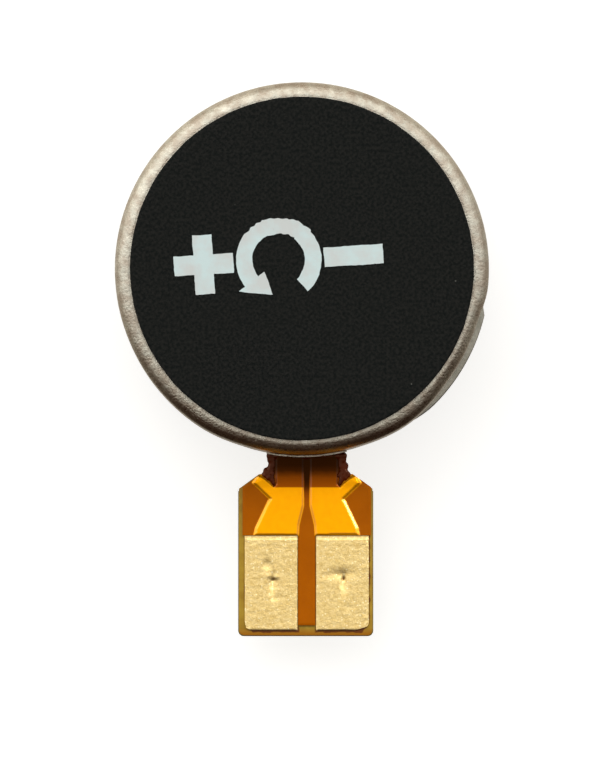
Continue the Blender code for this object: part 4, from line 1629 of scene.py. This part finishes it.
@dataclass
class Circuit:
    """Film, conductors, coverlay, contacts and stiffener of the flexible circuit.

    Places on it are given as a distance across from its centre line, and as a distance out beyond
    the can's edge.
    """

    neck: float = 2.0
    tail: float = 3.62
    land_length: float = 0.5          # where the brushes are soldered
    land_width: float = 0.5
    length: float = 4.77
    edge_shift: float = -0.028        # the outline's centre line, from the conductors'
    chamfer_start: float = 0.43
    chamfer_step: float = 0.25
    shoulder: float = 0.82
    corner: float = 0.15
    corner_steps: int = 6
    stiffener_gap: float = 0.06       # the stiffener starts this far past the shoulder
    film_inset: float = 0.02          # the stiffener stands out this much
    trace_inner: float = 0.11
    trace_outer: float = 0.81
    contact_inner: float = 0.25
    contact_outer: float = 1.66
    contact_start: float = 2.08
    contact_end: float = 4.61
    contact_grid: tuple[int, int] = (70, 122)
    left_cuts: tuple[Point, ...] = ((0.05, 0.23), (0.16, 0.08))  # off the outer lower corner
    right_cuts: tuple[Point, ...] = ((0.36, 0.11), (0.12, 0.16))
    land_drop: float = 0.018
    land_edge: float = 0.05
    left_marks: tuple[ProbeMark, ...] = (
        ProbeMark((0.05, 0.10), (0.040, 0.045), 0.030),
        ProbeMark((0.05, 0.02), (0.11, 0.24), 0.048),
        ProbeMark((0.13, 0.20), (0.07, 0.06), -0.018),
        ProbeMark((-0.06, 0.22), (0.06, 0.05), -0.012),
        ProbeMark((-0.10, 0.53), (0.11, 0.13), 0.025, 0.3),
        ProbeMark((0.11, -0.36), (0.12, 0.12), 0.016, -0.4))
    right_marks: tuple[ProbeMark, ...] = (
        ProbeMark((0.035, 0.15), (0.042, 0.055), 0.036),
        ProbeMark((0.035, 0.05), (0.09, 0.24), 0.046),
        ProbeMark((-0.06, 0.28), (0.32, 0.12), 0.024, 0.05),
        ProbeMark((0.16, -0.62), (0.12, 0.06), 0.006))
    coverlay_side: float = 0.9
    coverlay_wing: float = 1.72
    coverlay_end: float = 2.072
    tongue_end: float = 4.48
    coverlay_top: float = -0.24
    coverlay_inset: float = 0.02
    film_drop: float = 0.016          # its border is pressed down this much
    edge_fade: float = 0.05
    relief: float = 0.042
    relief_run: Size = (0.024, 0.032, 0.05)
    relief_from: Point = (0.6, 1.12)  # across and out, where the slopes get wider
    copper_fade: Point = (0.028, 0.052)
    rise: float = 0.055               # the neck climbs this much to the can
    crease: float = 0.79
    cuts: int = 34
    bend_start: float = 0.06
    bend_end: float = 0.88
    bend_rows: int = 14
    film: Span = field(init=False)
    copper: Span = field(init=False)
    top: Span = field(init=False)
    middle: float = field(init=False)
    edge: float = field(init=False)

    def build(self) -> None:
        """Make every layer, from the bottom up."""
        self.film = Span.of("flex_film_tail")
        self.copper = Span.of("trace_left_tail")
        self.top = Span.of("coverlay_tail")
        self.middle = self.film.middle.x
        self.edge = -Span.of("case").radius
        self.make_stiffener()
        self.make_film()
        for side in Side:
            self.make_trace(side)
            self.make_contact(side)
        self.make_coverlay()

    def at(self, across: float, out: float, side: Side = Side.RIGHT) -> Point:
        """Place of a point: its distance from the centre line, and beyond the can's edge."""
        return (self.middle + side.value * across, self.edge - out)

    def mirrored(self, half: Outline) -> list[Point]:
        """Close a half outline with its mirror image."""
        whole = [self.at(across, out) for across, out in half]
        return whole + [self.at(across, out, Side.LEFT) for across, out in reversed(half)]

    def shifted(self, half: Outline) -> list[Point]:
        """Close a half outline, and shift what lies beyond the can with the circuit's edges."""
        return [(x + (self.edge_shift if y < self.edge else 0.0), y)
                for x, y in self.mirrored(half)]

    def bend(self, piece: Piece) -> None:
        """Put a piece's place into its mesh.

        Args:
            piece: the finished piece.
        """
        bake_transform(piece)

    def cut_for_bend(self, piece: Piece) -> None:
        """Give a piece rows of edges across the neck."""
        cut_rows(piece, self.edge - self.bend_start, self.edge - self.bend_end, self.bend_rows)

    def tail_corner(self, inset: float = 0.0) -> list[Point]:
        """Half outline of the tail's rounded end corner.

        Args:
            inset: distance from the tail's edge.

        Returns:
            The corner's points, from the side to the end.
        """
        reach = self.tail / 2 - inset - self.corner
        end = self.length - inset - self.corner
        return [(reach + x, end + y)
                for x, y in arc_points(self.corner, 0.0, math.pi / 2, self.corner_steps)]

    def make_stiffener(self) -> None:
        """Stiff sheet under the tail."""
        span = Span.of("stiffener")
        half = [(self.tail / 2, self.shoulder + self.stiffener_gap), *self.tail_corner()]
        sheet = outline_slab("stiffener_sheet", self.shifted(half), span.low.z, span.high.z)
        soften(sheet, 0.015, 2, 60)
        finish_piece(sheet, "olive_stiffener", "stiffener", body=Body.TAIL)

    def make_film(self) -> None:
        """Bottom film, from the brush lands to the end of the tail."""
        body = Span.of("flex_film_body")
        land = body.high.x - body.middle.x
        land_start = self.edge - body.high.y
        land_end = land_start + self.land_length
        half = [(land, land_start), (land, land_end), (self.neck / 2, land_end),
                (self.neck / 2, self.chamfer_start),
                (self.neck / 2 + self.chamfer_step, self.chamfer_start),
                (self.tail / 2 - self.film_inset, self.shoulder),
                *self.tail_corner(self.film_inset)]
        film = outline_slab("base_film", self.shifted(half), self.film.low.z, self.film.high.z)
        self.cut_for_bend(film)
        soften(film, 0.008, 2, 60)
        finish_piece(film, "amber_film", "flex_film_body", "flex_film_tail")
        self.bend(film)

    def trace_outline(self, side: Side) -> list[Point]:
        """Outline of one conductor outside the can, with its spur to the chamfer.

        Args:
            side: which conductor.

        Returns:
            Its corners. The first two lie inside the can.
        """
        end = self.contact_start - self.coverlay_inset
        half = [
            (self.trace_inner, -0.25), (self.trace_outer, -0.25), (self.trace_outer, 0.70),
            (self.trace_outer + 0.08, 0.77), (1.19, 0.50), (1.29, 0.475), (1.43, 0.65),
            (0.955, 1.10), (1.01, 1.16), (1.35, 1.88), (1.39, end), (self.contact_inner, end),
            (0.235, 1.80), (self.trace_inner, 1.28)]
        return [self.at(across, out, side) for across, out in half]

    def make_trace(self, side: Side) -> None:
        """One copper conductor, from its brush land to its contact.

        Args:
            side: which conductor.
        """
        label = side.name.lower()
        body = Span.of(f"trace_{label}_body")
        inner, outer, *beyond = self.trace_outline(side)
        reach = max(abs(body.low.x - self.middle), abs(body.high.x - self.middle))
        land_start = self.edge - body.high.y
        land_end = self.edge - (body.high.y - self.land_length)
        land = [(self.trace_inner, land_end), (reach - self.land_width, land_start),
                (reach, land_start), (reach, land_end)]
        inside = [self.at(across, out, side) for across, out in land]
        trace = outline_slab(f"copper_{label}", [*beyond, inner, *inside, outer],
                             self.copper.low.z, self.copper.high.z)
        self.cut_for_bend(trace)
        finish_piece(trace, "rolled_copper", f"trace_{label}_body", f"trace_{label}_tail")
        self.bend(trace)

    def patch_sheet(self) -> Piece:
        """Flat coverlay, grown by extrusion from its tongue, and cut into a fine mesh.

        Returns:
            The sheet, one face thick, in millimetres.
        """
        tongue = self.contact_inner - self.coverlay_inset
        window = self.coverlay_end
        shoulder = self.edge - self.chamfer_start
        step = (self.tongue_end - window) / 3
        deselect()
        bpy.ops.mesh.primitive_plane_add(size=1.0, location=(0, 0, self.top.high.z))
        sheet = take("coverlay")
        settle(sheet)
        low, top = self.edge - self.tongue_end, self.edge - self.tongue_end + step
        for corner in sheet.data.vertices:
            corner.co.x = self.middle + math.copysign(tongue, corner.co.x)
            corner.co.y = low if corner.co.y < 0 else top
        for row in (self.edge - window - step, self.edge - window, self.edge - 1.38, shoulder,
                    self.edge - 0.12, self.edge - self.coverlay_top):
            self.extrude_edges(sheet, lambda a, b: min(a.y, b.y) > top - 1e-4, (0, row - top, 0))
            top = row
        for reach, next_reach, limit in ((tongue, self.coverlay_side, top),
                                         (self.coverlay_side, self.coverlay_wing, shoulder)):
            for side in Side:
                self.extrude_edges(sheet, self.side_test(side, reach, limit),
                                   (side.value * (next_reach - reach), 0, 0))
        with editing(sheet, whole=True):
            bpy.ops.mesh.remove_doubles(threshold=0.001)
            bpy.ops.mesh.select_all(action="SELECT")
            bpy.ops.mesh.subdivide(number_cuts=self.cuts)
        return sheet

    def side_test(self, side: Side, reach: float, limit: float) -> Test:
        """Test for the outer edges of the sheet between the contact windows and a limit.

        Args:
            side: which side's edges.
            reach: distance of the edges from the centre line.
            limit: the edges lie below this Y.

        Returns:
            The test.
        """
        window = self.edge - self.coverlay_end

        def wanted(a: Vector, b: Vector) -> bool:
            """Whether an edge lies on that side, above the windows and below the limit."""
            at_side = all(
                abs((end.x - self.middle) * side.value - reach) < NEAR / 2 for end in (a, b))
            return at_side and min(a.y, b.y) > window - NEAR and max(a.y, b.y) < limit + NEAR
        return wanted

    @staticmethod
    def extrude_edges(sheet: Piece, test: Test, offset: Sequence[float]) -> None:
        """Extrude the edges that pass a test.

        Args:
            sheet: the sheet.
            test: says whether an edge is wanted.
            offset: how far they are drawn out.
        """
        with editing(sheet, Pick.EDGES):
            pick_edges(sheet, test)
            bpy.ops.mesh.extrude_region_move(TRANSFORM_OT_translate=slide(offset))

    def make_coverlay(self) -> None:
        """Top film, draped over the conductors, with its chamfered shoulders."""
        sheet = self.patch_sheet()
        inset = self.coverlay_inset
        for side in Side:
            start = Vector((*self.at(
                self.neck / 2 + self.chamfer_step - inset, self.chamfer_start, side), 0))
            end = Vector((*self.at(self.tail / 2, self.shoulder + inset, side), 0))
            run = (end - start).normalized()
            outward = Vector((-run.y, run.x, 0)) * side.value
            with editing(sheet):
                pick_faces(sheet, self.shoulder_test(side))
                bpy.ops.mesh.bisect(
                    plane_co=start, plane_no=outward, clear_outer=outward.y > 0,
                    clear_inner=outward.y < 0)
        face_out(sheet)
        self.drape(sheet)
        thickness = self.top.high.z - self.top.low.z
        add_modifier(sheet, "SOLIDIFY", thickness=thickness, offset=-1.0)
        finish_piece(sheet, "amber_coverlay", "coverlay_body", "coverlay_tail", angle=60)
        self.bend(sheet)

    def slope_run(self, points: np.ndarray) -> np.ndarray:
        """Half the width of the film's slope beside the copper.

        It is tight in the neck and along the middle, wider on the left, and widest on the right.

        Args:
            points: one row of x, y, z for each point.

        Returns:
            The half width at each point.
        """
        tight, left, right = self.relief_run
        across = points[:, 0] - self.middle
        wide = ((np.abs(across) > self.relief_from[0])
                & (points[:, 1] < self.edge - self.relief_from[1]))
        return np.where(wide, np.where(across > 0, right, left), tight)

    def coverlay_outline(self) -> list[Point]:
        """Outline of the top film, with its tongue between the contacts.

        Returns:
            Its corners. A border that nothing shows of lies a little off the real one.
        """
        tongue, off = self.contact_inner - self.coverlay_inset, 0.05
        end = self.coverlay_end + off
        return self.mirrored([
            (self.coverlay_side, self.coverlay_top), (self.coverlay_side, self.chamfer_start - off),
            (self.coverlay_wing, self.shoulder - off), (self.coverlay_wing, end), (tongue, end),
            (tongue, self.tongue_end)])

    def shoulder_test(self, side: Side) -> Test:
        """Test for the faces of one shoulder, where the chamfer is cut.

        Args:
            side: which shoulder.

        Returns:
            The test.
        """
        low = self.edge - self.shoulder - 0.3
        return lambda middle, normal: (
            (middle.x - self.middle) * side.value > self.coverlay_side and middle.y > low)

    def drape(self, sheet: Piece) -> None:
        """Raise the film over the copper, and note where the copper and its slopes are.

        Args:
            sheet: the flat top film.
        """
        points = read_points(sheet)
        flat = points[:, :2]
        gap = np.minimum(*(outline_distance(flat, self.trace_outline(side)) for side in Side))
        run = self.slope_run(points)
        over = np.clip(0.5 - gap / (2 * run), 0.0, 1.0)
        climb = np.clip((points[:, 1] - self.edge + self.crease) / self.crease, 0.0, 1.0)
        border = -outline_distance(flat, self.coverlay_outline())
        points[:, 2] += self.relief * (over - 1) + self.rise * climb
        points[:, 2] -= self.film_drop * (1 - smooth_step(0.0, self.edge_fade, border))
        write_points(sheet, points)
        notes = {COPPER_NOTE: 1 - smooth_step(*self.copper_fade, gap),
                 SLOPE_NOTE: np.abs(gap) < run}
        for name, values in notes.items():
            note = sheet.data.attributes.new(name, "FLOAT", "POINT")
            note.data.foreach_set("value", values.astype(np.float32))

    def make_contact(self, side: Side) -> None:
        """One bare gold land, with the dents that test probes left.

        Args:
            side: which land.
        """
        label = side.name.lower()
        width = self.contact_outer - self.contact_inner
        length = self.contact_end - self.contact_start
        span = Span.of(f"contact_pad_{label}")
        middle = self.at((self.contact_inner + self.contact_outer) / 2,
                         (self.contact_start + self.contact_end) / 2, side)
        columns, rows = self.contact_grid
        deselect()
        bpy.ops.mesh.primitive_grid_add(
            x_subdivisions=columns, y_subdivisions=rows, size=1.0, location=(*middle, span.high.z))
        land = take(f"gold_land_{label}")
        land.scale = (width, length, 1.0)
        settle(land)
        for inward, upward in self.left_cuts if side is Side.LEFT else self.right_cuts:
            corner = (*self.at(self.contact_outer, self.contact_end - upward, side), 0)
            with editing(land, whole=True):
                bpy.ops.mesh.bisect(
                    plane_co=corner, plane_no=(side.value * upward, -inward, 0),
                    clear_outer=True)
        self.dent(land, side, span)
        add_modifier(land, "SOLIDIFY", thickness=span.high.z - span.low.z, offset=-1.0)
        finish_piece(land, "matte_gold", f"contact_pad_{label}", body=Body.TAIL, angle=60)

    def dent(self, land: Piece, side: Side, span: Span) -> None:
        """Round a land's edges and press the probe marks in.

        Args:
            land: the land, one face thick.
            side: which land it is.
            span: the box that it fills.
        """
        points = read_points(land)
        border = np.minimum(
            np.minimum(points[:, 0] - span.low.x, span.high.x - points[:, 0]),
            np.minimum(points[:, 1] - span.low.y, span.high.y - points[:, 1]))
        points[:, 2] -= self.land_drop * (1 - smooth_step(0.0, self.land_edge, border))
        across, along = points[:, 0] - span.middle.x, points[:, 1] - span.middle.y
        for mark in self.left_marks if side is Side.LEFT else self.right_marks:
            points[:, 2] += mark.height_at(across, along)
        for point in points:
            spot = Vector((point[0], point[1], side.value * 3.0))
            point[2] += 0.003 * noise.noise(spot * 9.0)
        write_points(land, points)


@dataclass
class Sealant:
    """Dark amber resin where the circuit leaves the can.

    A drop is its distance across from the centre line, its distance out beyond the can's edge, its
    half size, and its height above the row of drops along the can.
    """

    voxel: float = 0.02
    row_steps: int = 12
    row_half: float = 0.96
    row_size: Size = (0.13, 0.11, 0.075)
    row_inset: float = 0.06
    row_drop: float = 0.03
    bend: Point = (0.06, 0.88)        # the circuit bends between these distances beyond the can's edge
    side_drops: tuple[Drop, ...] = (
        (0.95, 0.03, 0.12, -0.02), (0.93, 0.12, 0.10, -0.02), (0.94, 0.21, 0.105, -0.025),
        (0.97, 0.30, 0.105, -0.03), (1.02, 0.39, 0.105, -0.035), (0.92, 0.40, 0.075, -0.01),
        (1.10, 0.455, 0.085, -0.045), (0.97, 0.49, 0.095, -0.015), (1.03, 0.54, 0.065, -0.015),
        (0.93, 0.585, 0.075, -0.005), (0.90, 0.67, 0.055, 0.0), (0.875, 0.735, 0.03, 0.0))
    left_drops: tuple[Drop, ...] = (
        (1.09, 0.35, 0.085, -0.04), (1.18, 0.45, 0.05, -0.05), (0.60, 0.30, 0.04, 0.005),
        (0.32, 0.22, 0.03, 0.005))
    right_drops: tuple[Drop, ...] = ((1.04, 0.21, 0.085, -0.03), (0.84, 0.47, 0.045, 0.005))

    def build(self) -> None:
        """Pool the resin from overlapping drops, and smooth it into one body."""
        span = Span.of("exit_sealant")
        middle, edge = span.middle.x, -Span.of("case").radius
        top = span.low.z - self.row_drop
        drops: list[tuple[Vector, Vector]] = []
        for step in range(self.row_steps + 1):
            across = -self.row_half + 2 * self.row_half * step / self.row_steps
            drops.append((Vector((middle + across, edge + self.row_inset, top)),
                          Vector(self.row_size)))
        for side, own in ((Side.LEFT, self.left_drops), (Side.RIGHT, self.right_drops)):
            for across, out, size, lift in self.side_drops + own:
                drops.append((Vector((middle + side.value * across, edge - out, top + lift)),
                              Vector((size, size * 1.25, size * 0.7))))
        resin = self.pool(drops)
        finish_piece(resin, "amber_resin", "exit_sealant", angle=180)
        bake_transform(resin)

    def pool(self, drops: Sequence[tuple[Vector, Vector]]) -> Piece:
        """Melt drops into one smooth body.

        Args:
            drops: the place and the half sizes of each drop.

        Returns:
            The body, in millimetres.
        """
        made = []
        for place, size in drops:
            deselect()
            bpy.ops.mesh.primitive_uv_sphere_add(
                segments=20, ring_count=12, radius=1.0, location=place)
            drop = take("drop")
            drop.scale = size
            settle(drop)
            made.append(drop)
        deselect()
        for drop in made:
            drop.select_set(True)
        bpy.context.view_layer.objects.active = made[0]
        bpy.ops.object.join()
        resin = take("resin_bead")
        add_modifier(resin, "REMESH", mode="VOXEL", voxel_size=self.voxel)
        add_modifier(resin, "SMOOTH", factor=0.6, iterations=6)
        return resin


# ---- inside the can ---------------------------------------------------------

@dataclass(frozen=True)
class Inside:
    """The sealed pieces, which keep their CAD shape. Each family of names has its finish."""

    families: tuple[tuple[str, str], ...] = (
        ("shaft", "shaft_steel"), ("pad_adhesive", "clear_adhesive"),
        ("ring_magnet", "magnet_nickel"), ("magnet_bond", "grey_bond"),
        ("lower_washer", "washer_film"), ("upper_washer", "washer_film"),
        ("brush_left", "phosphor_bronze"), ("brush_right", "phosphor_bronze"),
        ("brush_solder", "tin_solder"), ("rotor_bearing", "sintered_bronze"),
        ("rotor_board", "green_board"), ("counterweight", "tungsten"),
        ("rotor_resin", "rotor_plastic"), ("coil_left", "coil_enamel"),
        ("coil_right", "coil_enamel"), ("commutator", "segment_gold"),
        ("coil_solder", "tin_solder"))

    def build(self) -> None:
        """Dress every sealed node."""
        for family, finish in self.families:
            for name in filter(lambda name: name.startswith(family), frame["nodes"]):
                piece = frame["nodes"][name]
                piece.data.materials.clear()
                piece.data.materials.append(Finishes.get(finish))
                log.info("%s: dressed in %s", name, finish)


# ---- studio -----------------------------------------------------------------

@dataclass(frozen=True)
class SoftBox:
    """A soft light. Sizes and distances are in millimetres."""

    name: str
    azimuth: float
    elevation: float
    distance: float
    size: Point
    power: float
    colour: Colour = (1.0, 1.0, 1.0)
    mirrored: bool = True

    def hang(self, aim: Vector, only: bpy.types.Collection | None = None) -> None:
        """Hang the light and turn it to the aim.

        Args:
            aim: the point that it faces, in metres.
            only: the pieces that it lights, or nothing when it lights all.
        """
        lamp = bpy.data.lights.new(self.name, "AREA")
        lamp.shape = "RECTANGLE"
        lamp.size, lamp.size_y = (side * MM for side in self.size)
        lamp.energy = self.power
        lamp.color = self.colour
        stand = bpy.data.objects.new(self.name, lamp)
        bpy.context.scene.collection.objects.link(stand)
        way = direction(self.azimuth, self.elevation)
        stand.location = aim + way * self.distance * MM
        stand.rotation_mode = "QUATERNION"
        stand.rotation_quaternion = (-way).to_track_quat("-Z", "Y")
        stand.visible_camera = False
        stand.visible_glossy = self.mirrored
        if only:
            stand.light_linking.receiver_collection = only


def direction(azimuth: float, elevation: float) -> Vector:
    """Unit vector towards an azimuth, from -Y round to +X, and an elevation, in degrees."""
    turn, rise = math.radians(azimuth), math.radians(elevation)
    flat = math.cos(rise)
    return Vector((math.sin(turn) * flat, -math.cos(turn) * flat, math.sin(rise)))


@dataclass
class Studio:
    """Pale floor, soft lights and the camera."""

    lens: float = 700.0
    distance: float = 397.7
    elevation: float = 88.6
    aim: Size = (0.016, -3.05, 2.3)
    lamp_aim: Size = (0.0, -3.0, 0.0)
    floor_size: float = 3000.0
    floor_drop: float = 1.9           # leaves room for the tail to bend down
    floor_glow: float = 0.70
    striped: tuple[str, ...] = (      # the pieces that the strips light
        "coverlay", "gold_land", "resin_bead", "base_film", "stiffener_sheet", "copper_")
    air: tuple[tuple[float, Colour], ...] = (  # colour by how far a direction points to +Y
        (-1.0, (0.035, 0.015, 0.008)), (-0.70, (0.055, 0.028, 0.016)), (-0.42, (0.13, 0.10, 0.075)),
        (-0.24, (0.76, 0.73, 0.64)), (0.0, (1.00, 0.99, 0.95)), (0.3, (1.35, 1.34, 1.26)),
        (0.6, (1.70, 1.70, 1.58)), (1.0, (1.10, 1.00, 0.86)))
    low_air: Colour = (0.56, 0.52, 0.47)
    backdrop: Colour = (0.93, 0.93, 0.93)
    lights: tuple[SoftBox, ...] = (
        SoftBox("key", 200.0, 62.0, 120.0, (50.0, 50.0), 0.016, (1.0, 0.98, 0.95), False),)
    strips: tuple[SoftBox, ...] = (
        SoftBox("right_strip", 126.0, 44.5, 120.0, (52.0, 13.0), 0.042, (1.0, 0.99, 0.97)),
        SoftBox("left_strip", 252.0, 45.0, 120.0, (40.0, 12.0), 0.006, (1.0, 0.94, 0.90)),
        SoftBox("back_strip", 186.0, 66.0, 120.0, (22.0, 20.0), 0.014, (1.0, 0.98, 0.94)))

    def build(self) -> None:
        """Set up the studio."""
        self.lay_floor()
        self.light()
        self.fill_air()
        self.set_camera()

    def lay_floor(self) -> None:
        """Plain pale floor, just below the motor."""
        deselect()
        bpy.ops.mesh.primitive_plane_add(
            size=self.floor_size * MM, location=(0, 0, -self.floor_drop * MM))
        floor = take("studio_floor")
        coat = Coat("floor_paper")
        tone = coat.effect(
            Effect.MOTTLE, Main=(0.52, 0.52, 0.52), Other=(0.505, 0.505, 0.505), Scale=0.05)
        coat.set(Base_Color=tone.outputs["Color"], Roughness=0.8, Specular_IOR_Level=0.0)
        coat.set(Emission_Color=(1.0, 1.0, 1.0), Emission_Strength=self.floor_glow)
        floor.data.materials.append(coat.material)
        floor.visible_glossy = False

    def light(self) -> None:
        """Hang the lights. The strips light only the circuit."""
        aim = Vector(self.lamp_aim) * MM
        circuit = bpy.data.collections.new("lit_by_strips")
        for piece in bpy.data.objects:
            if piece.type == "MESH" and piece.name.startswith(self.striped):
                circuit.objects.link(piece)
        for lamp in self.lights:
            lamp.hang(aim)
        for lamp in self.strips:
            lamp.hang(aim, circuit)

    def fill_air(self) -> None:
        """Set the surroundings, dark towards the tail, bright behind, and darker low down."""
        world = bpy.data.worlds.new("studio_air")
        world.use_nodes = True
        bpy.context.scene.world = world
        canvas = Canvas(world.node_tree)
        back = world.node_tree.nodes["Background"]
        way = canvas.add("ShaderNodeTexCoord").outputs["Generated"]
        parts = canvas.add("ShaderNodeSeparateXYZ", None, {0: way})
        band = canvas.ramp(canvas.remap(parts.outputs["Y"], (-1, 1), (0, 1)),
                           [((place + 1) / 2, colour) for place, colour in self.air])
        low = canvas.remap(parts.outputs["Z"], (-0.05, 0.40), (0.0, 1.0))
        warm = canvas.blend(low, self.low_air, (1.0, 1.0, 1.0))
        side = canvas.remap(parts.outputs["X"], (-1.0, 1.0), (1.2, 0.8))
        shade = canvas.add("ShaderNodeMix", {"data_type": "RGBA", "blend_type": "MULTIPLY"}, {
            0: 1.0, 6: band, 7: warm}).outputs[2]
        shade = canvas.add("ShaderNodeVectorMath", {"operation": "SCALE"}, {0: shade, 3: side})
        plain = canvas.add("ShaderNodeLightPath").outputs["Is Camera Ray"]
        seen = canvas.blend(plain, shade.outputs[0], self.backdrop)
        canvas.plug(back.inputs["Color"], seen)

    def set_camera(self) -> None:
        """Camera high over the motor, almost straight above it."""
        lens = bpy.data.cameras.new("camera")
        lens.lens = self.lens
        lens.sensor_width = 36.0
        lens.clip_start = 0.01
        lens.clip_end = 10.0
        camera = bpy.data.objects.new("camera", lens)
        bpy.context.scene.collection.objects.link(camera)
        way = direction(0.0, self.elevation)
        camera.location = Vector(self.aim) * MM + way * self.distance * MM
        camera.rotation_mode = "QUATERNION"
        camera.rotation_quaternion = (-way).to_track_quat("-Z", "Y")
        bpy.context.scene.camera = camera


def main() -> None:
    """Build the studio and every sub-assembly, in order."""
    logging.basicConfig(level=logging.INFO, format="%(name)s %(message)s")
    bpy.context.scene.view_settings.view_transform = "Standard"
    noise.seed_set(NOISE_SEED)
    for assembly in (CanBody(), FoamPad(), Circuit(), Sealant(), Inside(), Studio()):
        assembly.build()
        log.info("%s is built", type(assembly).__name__)


if __name__ == "__main__":
    main()
